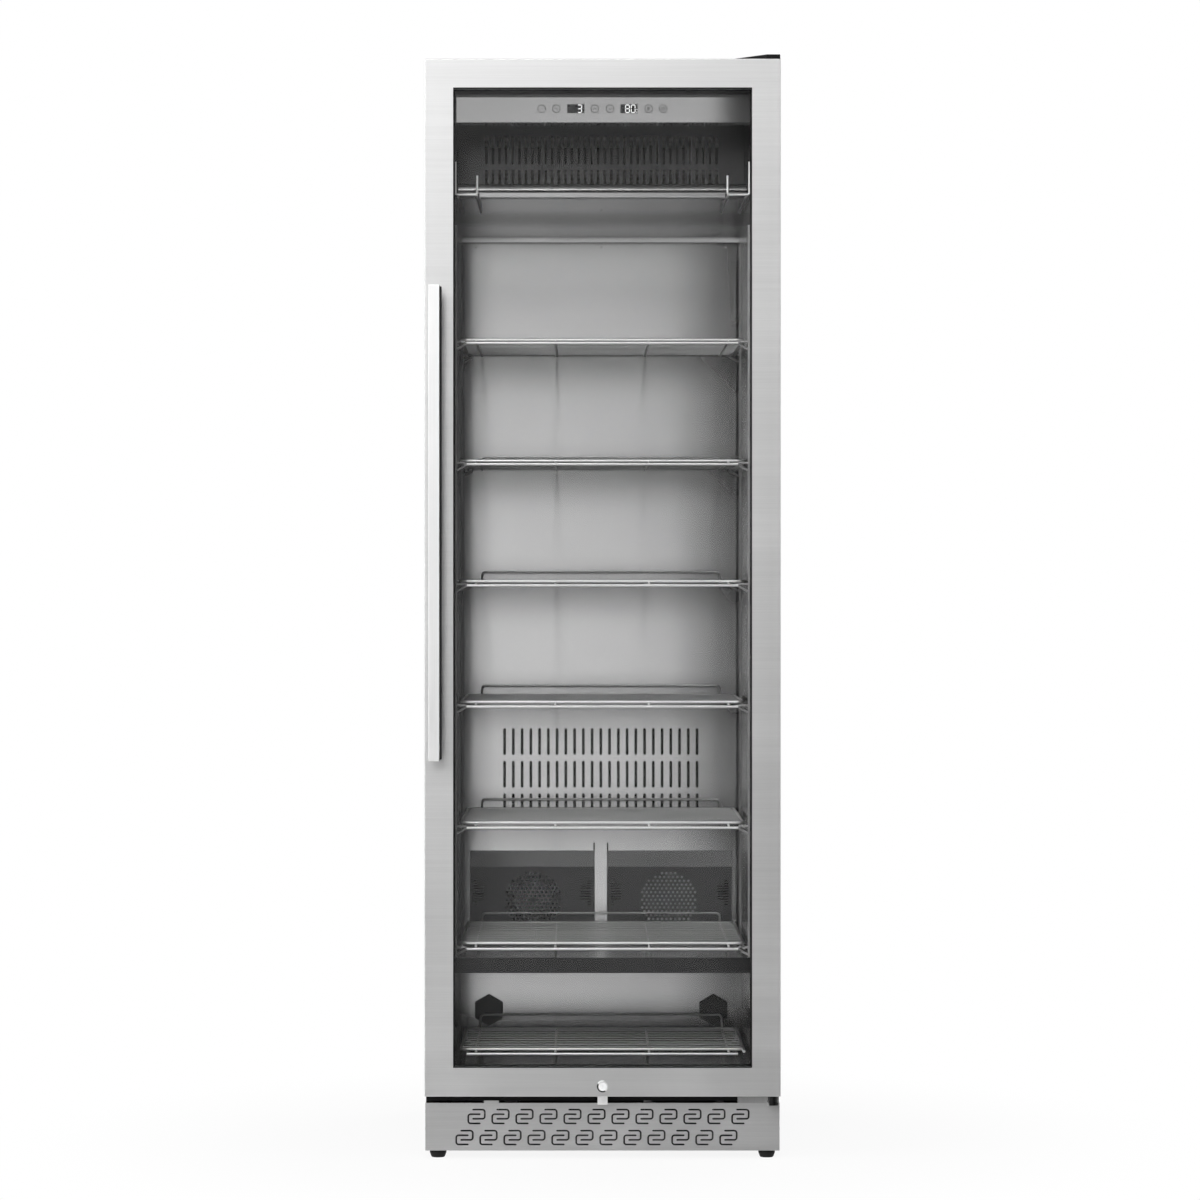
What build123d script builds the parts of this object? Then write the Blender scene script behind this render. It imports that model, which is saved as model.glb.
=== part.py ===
# Dry aging cabinet with a glass door, wire shelves, a hanging tube and a machine room.
# Millimetres. X runs across the front, Y from the door to the back, Z up from the floor.
# The origin lies on the floor at the middle of the whole outline, and depths are measured
# from the door's face towards the back.

import os
from math import atan, cos, hypot, sin, sqrt

from build123d import *

os.makedirs("parts", exist_ok=True)

# Whole cabinet
cabinet_width = 595.0
cabinet_height = 1842.0
cabinet_depth = 680.0
casing_sheet = 1.0
panel_sheet = 1.2
fit_gap = 0.3

# Feet and base
foot_height = 12.7
foot_radius = 14.0
foot_sole_radius = 11.5
foot_sole_edge = 1.0
foot_taper = 7.6
foot_inset = 19.6
front_foot_depth = 65.0
rear_foot_depth = 625.0
stud_radius = 4.0
stud_length = 26.0
running_clearance = 0.05
base_bottom = 13.0
base_sheet = 2.0

# Kick plate and its hook-shaped slots
kick_depth = 44.0
kick_top = 93.0
kick_return = 40.0
hook_stroke = 2.7
hook_width = 30.5
hook_height = 25.9
hook_corner = 4.0
hook_lap = 5.5
hook_pitch = 40.3
hooks_per_row = 12
upper_hook_height = 70.2
lower_hook_height = 34.8
hook_shift = 10.1
kick_tab_left = -199.0
kick_tab_width = 25.0
kick_tab_height = 4.0
kick_screw_heights = (48.0, 77.0)
kick_screw_depth = 62.0

# Door
door_thickness = 40.0
door_bottom = 109.0
hinge_gap = 0.5
door_rail = 48.0
skin_return = 38.0
skin_bend = 1.4
bead_reveal = 2.0
bead_thickness = 2.0
glass_thickness = 4.0
glass_cavity = 12.8
glass_overlap = 9.0
glass_edge_gap = 2.0
spacer_width = 10.0
seal_gap = 6.0
seal_width = 23.0
seal_inset = 12.5
seal_edge = 1.5

# Handle
handle_reach = 50.0
handle_bar_thickness = 11.0
handle_width = 19.0
handle_centre = -280.0
handle_bottom = 671.0
handle_length = 790.0
handle_post_radius = 6.0
handle_post_inset = 70.0
handle_edge = 1.0

# Lock
lock_height = 126.0
lock_barrel_radius = 8.0
lock_rim_radius = 9.5
lock_rim_proud = 4.0
lock_rim_edge = 1.0
lock_plug_radius = 7.0
lock_plug_proud = 0.6
keyway_length = 7.0
keyway_width = 1.2
keyway_depth = 3.0
cam_width = 10.0
cam_reach = 28.0
cam_thickness = 3.0
cam_gap = 0.5
cam_pocket_margin = 3.0
strike_width = 16.8
strike_depth = 20.0
strike_sheet = 2.0
strike_foot_length = 50.0

# Hinges
hinge_inset = 12.0
hinge_depth = 16.0
pin_radius = 4.0
bush_radius = 6.0
bush_length = 20.0
pin_length = 18.0
bush_flange_radius = 7.5
hinge_arm_half_width = 9.5
hinge_arm_thickness = 4.0
hinge_plate_thickness = 3.0
hinge_plate_left = 235.0
hinge_plate_back = 110.0
lower_plate_left = 227.0
lower_plate_lip_right = 278.0
lower_plate_lip_height = 10.0
hinge_cover_left = 212.0
hinge_cover_corner_depth = 72.0
hinge_cover_height = 7.5
hinge_cover_wall = 1.5

# Liner and insulated box
side_wall = 47.5
frame_thickness = 4.0
floor_height = 150.0
top_wall = 44.0
lower_back_depth = 450.0
step_height = 334.5
back_wall = 55.0
machine_front_depth = 489.0
machine_ceiling = 250.0
bottom_height = 97.0

# Rear panel, its slots and its two fan openings
rear_duct_depth = 82.0
rear_panel_drop = 219.0
rear_slot_count = 23
rear_slot_pitch = 15.76
rear_slot_width = 5.0
rear_slot_length = 48.0
rear_slot_rows = (563.5, 622.0, 681.0)
fan_window_inner = 11.0
fan_window_outer = 236.0
fan_window_bottom = 338.5
fan_window_top = 484.6
relief_slit_width = 2.5
relief_slit_height = 14.0

# Fan covers
cover_proud = 4.0
cover_shoulder = 455.6
cover_sheet = 1.5
fan_centre = 122.0
fan_height = 396.0
grille_radius = 54.0
grille_hole_radius = 2.3
grille_pitch = 7.9
louvre_count = 10
louvre_pitch = 4.65
louvre_width = 2.0
louvre_long = 20.0
louvre_short = 7.0
louvre_centre_height = 409.0
louvre_inset = 6.0

# Fans and the filter cartridge
fan_shaft_radius = 3.0
fan_frame_depth = 24.0
fan_frame_half = 55.0
fan_bore_radius = 52.5
fan_strut_width = 6.0
fan_strut_thickness = 2.0
fan_wheel_set_back = 4.0
fan_hub_radius = 34.0
fan_hub_length = 14.0
fan_tip_radius = 50.5
fan_blade_count = 6
fan_blade_width = 20.0
fan_blade_tilt = 32.0
blade_sheet = 1.2
blade_sink = 2.4
filter_radius = 55.0
filter_length = 22.0
filter_edge = 1.5

# Divider between the two chambers
divider_front_depth = 62.0
fascia_thickness = 2.0
fascia_bottom = 309.5

# Duct cover over the evaporator
duct_front_depth = 330.0
duct_front_drop = 160.0
duct_back_drop = 213.0
duct_slot_count = 36
duct_slot_pitch = 11.5
duct_slot_width = 4.8
duct_slot_drops = ((153.0, 109.0), (99.0, 51.0))

# Evaporator
coil_front_depth = 350.0
coil_back_depth = 530.0
coil_height = 130.0
coil_drop = 13.0
coil_half_width = 215.0
coil_fin_count = 16
coil_fin_thickness = 1.5
coil_tube_radius = 5.0
coil_rows = 2
coil_columns = 3
coil_margin = 32.0

# Control panel
panel_depth = 62.0
panel_thickness = 3.0
panel_height = 48.5
panel_drop = 7.5
panel_lip = 45.0
display_width = 28.8
display_height = 15.0
display_centre = 44.8
display_drop = 33.0
display_recess = 0.4
board_half_width = 130.0
board_height = 32.0
board_thickness = 1.6

# Wire shelves
shelf_count = 6
space_over_shelves = 419.5
lowest_shelf = 355.5
shelf_front_depth = 111.0
shelf_back_gap = 8.0
shelf_side_gap = 11.0
shelf_corner = 10.0
frame_wire = 2.5
cross_wire = 1.5
cross_wire_count = 10
under_wire = 2.0
weld_sink = 0.7
wire_overrun = 1.2
under_wire_places = (79.3, 214.0)
nose_depth = 78.0
nose_drop = 7.0
nose_inset = 10.0
guard_height = 17.0
guard_corner = 7.0

# Floor rack, which stands on two loops
rack_height = 176.0
rack_back_depth = 435.0
rack_cross_wire_count = 8
rack_guard_height = 24.0
rack_nose_drop = 4.5
loop_corner = 11.0
rack_rear_loop_depth = 424.0

# Uprights and shelf bearers
upright_depths = (86.0, 476.0)
upright_width = 12.0
upright_thickness = 4.0
upright_drop = 227.0
upright_slot_width = 4.0
upright_slot_length = 12.0
bearer_wire = 2.0
bearer_front_depth = 70.0
bearer_back_depth = 500.0
bearer_inset = 15.0
bearer_drop = 12.0
bearer_bend = 2.2

# Hanging tube and its cradles
tube_radius = 13.2
tube_wall = 1.5
tube_depth = 80.0
tube_drop = 171.2
tube_end_gap = 7.0
tube_notch_margin = 4.0
cradle_wire = 2.0
cradle_side_gap = 39.0
cradle_sag = 6.3
cradle_inner_rise = 25.8
cradle_outer_rise = 49.2
cradle_rod_inset = 1.2
cradle_corner = 4.0

# Caps on the lower rear wall
cap_flats = 50.0
cap_thickness = 4.0
cap_centre = 199.5
cap_height = 207.0
cap_edge = 1.5

# Machine room
compressor_x = 150.0
compressor_depth = 575.0
compressor_radius = 60.0
compressor_bottom = 30.0
compressor_top = 190.0
compressor_foot_radius = 10.0
compressor_foot_x = 62.0
compressor_foot_y = 45.0
compressor_plate = 2.5
compressor_edge = 22.0
condenser_left = -270.0
condenser_right = -150.0
condenser_front_depth = 505.0
condenser_back_depth = 660.0
condenser_top = 195.0
condenser_fin_count = 13
condenser_fin_thickness = 1.5
condenser_tube_radius = 4.0
shroud_thickness = 3.0
condenser_tube_spacing = 50.0
shroud_strut = 8.0
condenser_fan_radius = 62.0
condenser_fan_hub = 18.0
condenser_hub_length = 24.0
condenser_fan_gap = 20.0
condenser_blade_count = 5
condenser_blade_width = 34.0
condenser_blade_tilt = 30.0
tray_left = -85.0
tray_right = 60.0
tray_front_depth = 510.0
tray_back_depth = 660.0
tray_height = 30.0
tray_wall = 2.0
pipe_radius = 4.0
pipe_bend = 20.0
pipe_outlet_height = 120.0
pipe_outlet_run = 45.0
pipe_top_height = 228.0
inlet_x = -235.0
inlet_height = 222.0
inlet_width = 48.0
inlet_body_height = 27.0
inlet_body_depth = 22.0
inlet_recess = 14.0
inlet_rim = 4.0
vent_count = 24
vent_pitch = 18.0
vent_width = 6.0
vent_length = 60.0
vent_rows = (70.0, 145.0)

# Small screws
screw_head_radius = 4.0
screw_head_height = 1.2
screw_shank_radius = 1.9
small_screw_radius = 1.8
back_screw_inset = 8.0
back_screw_places = (-225.0, 0.0, 225.0)
duct_screw_depth = 386.0
wall_screw_drops = ((68.0, 59.5), (76.0, 63.5))

# Derived places shared by several pieces
half_width = cabinet_width / 2
casing_outside = half_width - panel_sheet
casing_inside = casing_outside - casing_sheet
inner_half = half_width - side_wall
inner_fit = inner_half - fit_gap
door_top = cabinet_height - hinge_gap
casing_top = cabinet_height - casing_sheet
seal_depth = door_thickness + seal_gap
liner_front_depth = seal_depth + frame_thickness
back_sheet_depth = cabinet_depth - casing_sheet
base_top = base_bottom + base_sheet
hinge_x = half_width - hinge_inset
foot_x = casing_outside - foot_inset
inner_pane_depth = panel_sheet + bead_thickness + glass_thickness + glass_cavity
core_back_depth = inner_pane_depth + glass_thickness
opening_half = half_width - door_rail
opening_bottom = door_bottom + door_rail
opening_top = door_top - door_rail
ceiling_height = cabinet_height - top_wall
liner_back_depth = cabinet_depth - back_wall
rear_panel_depth = liner_back_depth - rear_duct_depth
rear_panel_top = ceiling_height - rear_panel_drop
duct_front_bottom = ceiling_height - duct_front_drop
duct_back_bottom = ceiling_height - duct_back_drop
coil_top = ceiling_height - coil_drop
coil_bottom = coil_top - coil_height
panel_top = ceiling_height - panel_drop
panel_bottom = panel_top - panel_height
display_level = ceiling_height - display_drop
highest_shelf = ceiling_height - space_over_shelves
shelf_back_depth = rear_panel_depth - shelf_back_gap
shelf_half_width = inner_half - shelf_side_gap
nose_half_width = shelf_half_width - nose_inset
tube_height = ceiling_height - tube_drop
tube_half_length = inner_half - tube_end_gap
cradle_inner = inner_half - cradle_side_gap
cradle_bottom = tube_height - cradle_sag
centred_low = (Align.CENTER, Align.CENTER, Align.MIN)
both_sides = (-1, 1)


def behind(depth):
    # Y of a plane that far behind the door's face
    return depth + handle_reach - (cabinet_depth + handle_reach) / 2


def slab(x_limits, depth_limits, z_limits, mode=Mode.ADD):
    # A box between pairs of limits, with its Y limits given as depths
    y_limits = [behind(depth) for depth in depth_limits]
    limits = (x_limits, y_limits, z_limits)
    with Locations(tuple((low + high) / 2 for low, high in limits)):
        Box(*(high - low for low, high in limits), mode=mode)


def ring(outer_inset, inner_inset, depth_limits):
    # A frame between two insets from the door's outline
    for inset, mode in ((outer_inset, Mode.ADD), (inner_inset, Mode.SUBTRACT)):
        x = half_width - inset
        slab((-x, x), depth_limits, (door_bottom + inset, door_top - inset), mode)


def rod(start, end, radius, mode=Mode.ADD):
    # A round bar between two points
    along = Vector(*end) - Vector(*start)
    with Locations(Plane(origin=start, z_dir=along)):
        Cylinder(radius, along.length, align=centred_low, mode=mode)


def bent_wire(points, radius, corner, close=False):
    # A round wire along points, with the same bend at each of them
    with BuildLine() as path:
        FilletPolyline(*points, radius=corner, close=close)
    with BuildSketch(Plane(origin=path.line @ 0, z_dir=path.line % 0)) as section:
        Circle(radius)
    sweep(section.sketch, path.line)


def fan_wheel(hub_radius, hub_length, tip_radius, blade_count, blade_width, blade_tilt):
    # A hub with flat tilted blades and a bore that runs on the fan's shaft
    blade_root = hub_radius - blade_sink
    blade_length = tip_radius - blade_root
    Cylinder(hub_radius, hub_length)
    with PolarLocations(blade_root + blade_length / 2, blade_count):
        Box(blade_length, blade_width, blade_sheet, rotation=(blade_tilt, 0, 0))
    Cylinder(fan_shaft_radius + running_clearance, hub_length, mode=Mode.SUBTRACT)


def save(piece, label):
    # Names a finished piece and writes it
    piece.part.label = label
    export_step(piece.part, f"parts/{label}.step")


# Levelling feet, each a plastic foot on a threaded stud
foot_places = {
    "foot_front_left": (-foot_x, front_foot_depth),
    "foot_front_right": (foot_x, front_foot_depth),
    "foot_rear_left": (-foot_x, rear_foot_depth),
    "foot_rear_right": (foot_x, rear_foot_depth),
}
for foot_name, (x, depth) in foot_places.items():
    with BuildPart() as foot:
        with BuildSketch(Plane((x, behind(depth), 0), z_dir=(0, -1, 0), x_dir=(1, 0, 0))):
            with BuildLine():
                Polyline(
                    (0, 0),
                    (foot_sole_radius - foot_sole_edge, 0),
                    (foot_sole_radius, foot_sole_edge),
                    (foot_radius, foot_taper),
                    (foot_radius, foot_height),
                    (stud_radius, foot_height),
                    (stud_radius, foot_height + stud_length),
                    (0, foot_height + stud_length),
                    close=True,
                )
            make_face()
        revolve(axis=Axis((x, behind(depth), 0), (0, 0, 1)))
    save(foot, foot_name)

# Base pan, with a clearance hole for each stud
with BuildPart() as base_pan:
    slab(
        (-casing_inside, casing_inside),
        (seal_depth, back_sheet_depth),
        (base_bottom, base_top),
    )
    with Locations(*((x, behind(depth), base_top) for x, depth in foot_places.values())):
        Hole(stud_radius + running_clearance)
save(base_pan, "base_pan")

# Kick plate: a folded sheet with two rows of interlocked hook slots
hook_x = (hook_width - hook_stroke) / 2
hook_z = (hook_height - hook_stroke) / 2
hook_path = (
    (-hook_lap, hook_z),
    (hook_x, hook_z),
    (hook_x, -hook_z / 3),
    (-hook_lap, -hook_z / 3),
)
with BuildSketch() as hook_pair:
    with BuildLine(mode=Mode.PRIVATE) as hook_line:
        FilletPolyline(*hook_path, radius=hook_corner)
    trace(hook_line.line, hook_stroke)
    with Locations(hook_path[0], hook_path[-1]):
        Circle(hook_stroke / 2)
    add(hook_pair.sketch, rotation=180)
kick_front = Plane((0, behind(kick_depth), 0), x_dir=(1, 0, 0), z_dir=(0, -1, 0))
with BuildPart() as kick_plate:
    slab(
        (-half_width, half_width),
        (kick_depth, kick_depth + panel_sheet),
        (base_bottom, kick_top),
    )
    slab(
        (kick_tab_left, kick_tab_left + kick_tab_width),
        (kick_depth, kick_depth + panel_sheet),
        (kick_top, kick_top + kick_tab_height),
    )
    with BuildSketch(kick_front):
        for row_height, shift in (
            (upper_hook_height, hook_shift),
            (lower_hook_height, -hook_shift),
        ):
            with Locations((shift, row_height)):
                with GridLocations(hook_pitch, 1, hooks_per_row, 1):
                    add(hook_pair.sketch)
    extrude(amount=-panel_sheet, mode=Mode.SUBTRACT)
    for side in both_sides:
        slab(
            sorted((side * casing_outside, side * half_width)),
            (kick_depth, kick_depth + kick_return),
            (base_bottom, kick_top),
        )
        with BuildSketch(Plane((side * half_width, 0, 0), x_dir=(0, 1, 0), z_dir=(side, 0, 0))):
            with Locations(
                *((behind(kick_screw_depth), side * z) for z in kick_screw_heights)
            ):
                Circle(screw_shank_radius + running_clearance)
        extrude(amount=-panel_sheet, mode=Mode.SUBTRACT)
save(kick_plate, "kick_plate")

# Casing: two sides, top, back and the bent bottom over the machine room
with BuildPart() as side_panels:
    for side in both_sides:
        slab(
            sorted((side * casing_inside, side * casing_outside)),
            (seal_depth, cabinet_depth),
            (base_bottom, cabinet_height),
        )
save(side_panels, "side_panels")

with BuildPart() as top_panel:
    slab(
        (-casing_inside, casing_inside),
        (seal_depth, cabinet_depth),
        (casing_top, cabinet_height),
    )
save(top_panel, "top_panel")

back_face = Plane((0, behind(cabinet_depth), 0), x_dir=(-1, 0, 0), z_dir=(0, 1, 0))
with BuildPart() as back_panel:
    slab(
        (-casing_inside, casing_inside),
        (back_sheet_depth, cabinet_depth),
        (base_bottom, casing_top),
    )
    with BuildSketch(back_face):
        for row_height in vent_rows:
            with Locations((0, row_height)):
                with GridLocations(vent_pitch, 1, vent_count, 1):
                    SlotOverall(vent_length, vent_width, rotation=90)
        with Locations((-inlet_x, inlet_height)):
            Rectangle(inlet_width, inlet_body_height)
    extrude(amount=-casing_sheet, mode=Mode.SUBTRACT)
save(back_panel, "back_panel")

with BuildPart() as bottom_panel:
    slab(
        (-casing_inside, casing_inside),
        (seal_depth, machine_front_depth + casing_sheet),
        (bottom_height, bottom_height + casing_sheet),
    )
    slab(
        (-casing_inside, casing_inside),
        (machine_front_depth, machine_front_depth + casing_sheet),
        (bottom_height, machine_ceiling),
    )
    slab(
        (-casing_inside, casing_inside),
        (machine_front_depth, back_sheet_depth),
        (machine_ceiling - casing_sheet, machine_ceiling),
    )
save(bottom_panel, "bottom_panel")

# Insulation, foamed between the casing and the liner
foam_outline = (
    (behind(liner_front_depth), bottom_height + casing_sheet),
    (behind(machine_front_depth), bottom_height + casing_sheet),
    (behind(machine_front_depth), machine_ceiling),
    (behind(back_sheet_depth), machine_ceiling),
    (behind(back_sheet_depth), casing_top),
    (behind(liner_front_depth), casing_top),
)
liner_outline = (
    (behind(liner_front_depth), floor_height - casing_sheet),
    (behind(lower_back_depth + casing_sheet), floor_height - casing_sheet),
    (behind(lower_back_depth + casing_sheet), step_height - casing_sheet),
    (behind(liner_back_depth + casing_sheet), step_height - casing_sheet),
    (behind(liner_back_depth + casing_sheet), ceiling_height + casing_sheet),
    (behind(liner_front_depth), ceiling_height + casing_sheet),
)
with BuildPart() as insulation_foam:
    with BuildSketch(Plane.YZ):
        Polygon(*foam_outline, align=None)
    extrude(amount=casing_inside, both=True)
    with BuildSketch(Plane.YZ):
        Polygon(*liner_outline, align=None)
    extrude(amount=inner_half + casing_sheet, both=True, mode=Mode.SUBTRACT)
save(insulation_foam, "insulation_foam")

# Front frame that the door's seal meets
with BuildPart() as front_frame:
    slab(
        (-casing_inside, casing_inside),
        (seal_depth, liner_front_depth),
        (bottom_height + casing_sheet, casing_top),
    )
    slab(
        (-inner_half, inner_half),
        (seal_depth, liner_front_depth),
        (floor_height, ceiling_height),
        Mode.SUBTRACT,
    )
save(front_frame, "front_frame")

# Liner: two side walls, ceiling, floor and the stepped back
with BuildPart() as liner_sides:
    for side in both_sides:
        with BuildSketch(Plane.YZ.offset(side * inner_half)):
            Polygon(*liner_outline, align=None)
        extrude(amount=side * casing_sheet)
save(liner_sides, "liner_sides")

with BuildPart() as liner_ceiling:
    slab(
        (-inner_half, inner_half),
        (liner_front_depth, liner_back_depth + casing_sheet),
        (ceiling_height, ceiling_height + casing_sheet),
    )
save(liner_ceiling, "liner_ceiling")

with BuildPart() as liner_floor:
    slab(
        (-inner_half, inner_half),
        (liner_front_depth, lower_back_depth),
        (floor_height - casing_sheet, floor_height),
    )
save(liner_floor, "liner_floor")

with BuildPart() as liner_back:
    slab(
        (-inner_half, inner_half),
        (lower_back_depth, lower_back_depth + casing_sheet),
        (floor_height - casing_sheet, step_height),
    )
    slab(
        (-inner_half, inner_half),
        (lower_back_depth, liner_back_depth),
        (step_height - casing_sheet, step_height),
    )
    slab(
        (-inner_half, inner_half),
        (liner_back_depth, liner_back_depth + casing_sheet),
        (step_height - casing_sheet, ceiling_height),
    )
save(liner_back, "liner_back")

# Divider between the chambers, and its front lip
divider_top = step_height + panel_sheet
with BuildPart() as divider_plate:
    slab(
        (-inner_fit, inner_fit),
        (divider_front_depth + fascia_thickness, rear_panel_depth),
        (step_height, divider_top),
    )
save(divider_plate, "divider_plate")

with BuildPart() as divider_fascia:
    slab(
        (-inner_fit, inner_fit),
        (divider_front_depth, divider_front_depth + fascia_thickness),
        (fascia_bottom, divider_top),
    )
save(divider_fascia, "divider_fascia")

# Rear panel in front of the air duct
rear_face = Plane((0, behind(rear_panel_depth), 0), x_dir=(1, 0, 0), z_dir=(0, -1, 0))
with BuildPart() as rear_panel:
    slab(
        (-inner_fit, inner_fit),
        (rear_panel_depth, rear_panel_depth + panel_sheet),
        (divider_top, rear_panel_top),
    )
    with BuildSketch(rear_face):
        for row_height in rear_slot_rows:
            with Locations((0, row_height)):
                with GridLocations(rear_slot_pitch, 1, rear_slot_count, 1):
                    SlotOverall(rear_slot_length, rear_slot_width, rotation=90)
        window_width = fan_window_outer - fan_window_inner
        window_height = fan_window_top - fan_window_bottom
        for side in both_sides:
            with Locations(
                (side * (fan_window_inner + window_width / 2), fan_window_bottom + window_height / 2)
            ):
                Rectangle(window_width, window_height)
            with Locations(
                (
                    side * (fan_window_inner + relief_slit_width / 2),
                    fan_window_top + relief_slit_height / 2,
                )
            ):
                Rectangle(relief_slit_width, relief_slit_height)
    extrude(amount=-panel_sheet, mode=Mode.SUBTRACT)
save(rear_panel, "rear_panel")

# Fan covers: dark trays with a sloping top, a field of holes and louvres at each side
cover_face_depth = rear_panel_depth - cover_proud
cover_back_depth = rear_panel_depth + panel_sheet
cover_inner = fan_window_inner + fit_gap
cover_outer = fan_window_outer - fit_gap
cover_middle = (cover_inner + cover_outer) / 2
cover_outline = (
    (behind(cover_back_depth), fan_window_bottom + fit_gap),
    (behind(cover_face_depth), fan_window_bottom + fit_gap),
    (behind(cover_face_depth), cover_shoulder),
    (behind(cover_back_depth), fan_window_top - fit_gap),
)
cover_hollow = (
    (behind(cover_back_depth), fan_window_bottom + fit_gap + cover_sheet),
    (behind(cover_face_depth + cover_sheet), fan_window_bottom + fit_gap + cover_sheet),
    (behind(cover_face_depth + cover_sheet), cover_shoulder),
    (behind(cover_back_depth), fan_window_top - fit_gap - cover_sheet * 2),
)
grille_row = grille_pitch * sqrt(3) / 2
grille_reach = int(grille_radius / grille_row)
grille_places = [
    ((column + row % 2 / 2) * grille_pitch, row * grille_row)
    for row in range(-grille_reach, grille_reach + 1)
    for column in range(-grille_reach, grille_reach + 1)
]
lowest_hole = fan_window_bottom - fan_height + 2 * cover_sheet + grille_hole_radius
grille_places = [
    (x, z)
    for x, z in grille_places
    if hypot(x, z) < grille_radius - grille_hole_radius and z > lowest_hole
]
louvre_middle = (louvre_count - 1) / 2
louvres = [
    (
        louvre_centre_height + (row - louvre_middle) * louvre_pitch,
        louvre_long if abs(row - louvre_middle) < louvre_middle - 1 else louvre_short,
    )
    for row in range(louvre_count)
]
cover_front = Plane((0, behind(cover_face_depth), 0), x_dir=(1, 0, 0), z_dir=(0, -1, 0))
with BuildPart() as fan_covers:
    for side in both_sides:
        with BuildSketch(Plane.YZ.offset(side * cover_middle)):
            Polygon(*cover_outline, align=None)
        extrude(amount=(cover_outer - cover_inner) / 2, both=True)
        with BuildSketch(Plane.YZ.offset(side * cover_middle)):
            Polygon(*cover_hollow, align=None)
        extrude(
            amount=(cover_outer - cover_inner) / 2 - cover_sheet,
            both=True,
            mode=Mode.SUBTRACT,
        )
        with BuildSketch(cover_front):
            with Locations((side * fan_centre, fan_height)):
                with Locations(*grille_places):
                    Circle(grille_hole_radius)
            for height, length in louvres:
                for edge in (cover_inner + louvre_inset, cover_outer - louvre_inset - length):
                    with Locations((side * (edge + length / 2), height)):
                        SlotOverall(length, louvre_width)
        extrude(amount=-cover_sheet, mode=Mode.SUBTRACT)
save(fan_covers, "fan_covers")

# Circulation fan behind the left cover, filter cartridge behind the right one
fan_front_depth = cover_face_depth + cover_sheet + fit_gap
fan_wheel_depth = fan_front_depth + fan_wheel_set_back + fan_hub_length / 2
fan_back_depth = fan_front_depth + fan_frame_depth
with BuildPart() as fan_housing:
    slab(
        (-fan_centre - fan_frame_half, -fan_centre + fan_frame_half),
        (fan_front_depth, fan_back_depth),
        (fan_height - fan_frame_half, fan_height + fan_frame_half),
    )
    rod(
        (-fan_centre, behind(fan_front_depth), fan_height),
        (-fan_centre, behind(fan_back_depth), fan_height),
        fan_bore_radius,
        Mode.SUBTRACT,
    )
    for turn in (0, 90):
        with Locations(
            Plane((-fan_centre, behind(fan_back_depth - fan_strut_thickness / 2), fan_height))
        ):
            Box(
                2 * fan_bore_radius + fan_strut_width,
                fan_strut_thickness,
                fan_strut_width,
                rotation=(0, turn, 0),
            )
    rod(
        (-fan_centre, behind(fan_wheel_depth - fan_hub_length / 2), fan_height),
        (-fan_centre, behind(fan_back_depth), fan_height),
        fan_shaft_radius,
    )
save(fan_housing, "fan_housing")

wheel_plane = Plane((-fan_centre, behind(fan_wheel_depth), fan_height), z_dir=(0, -1, 0))
with BuildPart(wheel_plane) as circulation_fan:
    fan_wheel(
        fan_hub_radius,
        fan_hub_length,
        fan_tip_radius,
        fan_blade_count,
        fan_blade_width,
        fan_blade_tilt,
    )
save(circulation_fan, "circulation_fan")

with BuildPart() as filter_cartridge:
    rod(
        (fan_centre, behind(fan_front_depth), fan_height),
        (fan_centre, behind(fan_front_depth + filter_length), fan_height),
        filter_radius,
    )
    chamfer(filter_cartridge.edges().filter_by(GeomType.CIRCLE), filter_edge)
save(filter_cartridge, "filter_cartridge")

# Duct cover: slotted front, sloping underside and a flange over the rear panel's top
slope = (duct_back_bottom - duct_front_bottom) / (rear_panel_depth - duct_front_depth)
slope_sheet = panel_sheet * sqrt(1 + slope * slope)
duct_flange_bottom = rear_panel_top + panel_sheet


def duct_underside(depth):
    # Height of the sloping underside at a depth
    return duct_front_bottom + slope * (depth - duct_front_depth)


duct_outline = (
    (duct_front_depth, ceiling_height - fit_gap),
    (duct_front_depth, duct_front_bottom),
    (rear_panel_depth, duct_back_bottom),
    (rear_panel_depth, duct_flange_bottom),
    (rear_panel_depth + panel_sheet, duct_flange_bottom),
    (rear_panel_depth + panel_sheet, duct_underside(rear_panel_depth + panel_sheet) + slope_sheet),
    (duct_front_depth + panel_sheet, duct_underside(duct_front_depth + panel_sheet) + slope_sheet),
    (duct_front_depth + panel_sheet, ceiling_height - fit_gap),
)
duct_face = Plane((0, behind(duct_front_depth), 0), x_dir=(1, 0, 0), z_dir=(0, -1, 0))
with BuildPart() as duct_cover:
    with BuildSketch(Plane.YZ):
        Polygon(*((behind(depth), z) for depth, z in duct_outline), align=None)
    extrude(amount=inner_fit, both=True)
    with BuildSketch(duct_face):
        for low, high in duct_slot_drops:
            with Locations((0, ceiling_height - (low + high) / 2)):
                with GridLocations(duct_slot_pitch, 1, duct_slot_count, 1):
                    SlotOverall(low - high, duct_slot_width, rotation=90)
    extrude(amount=-panel_sheet, mode=Mode.SUBTRACT)
save(duct_cover, "duct_cover")

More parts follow.
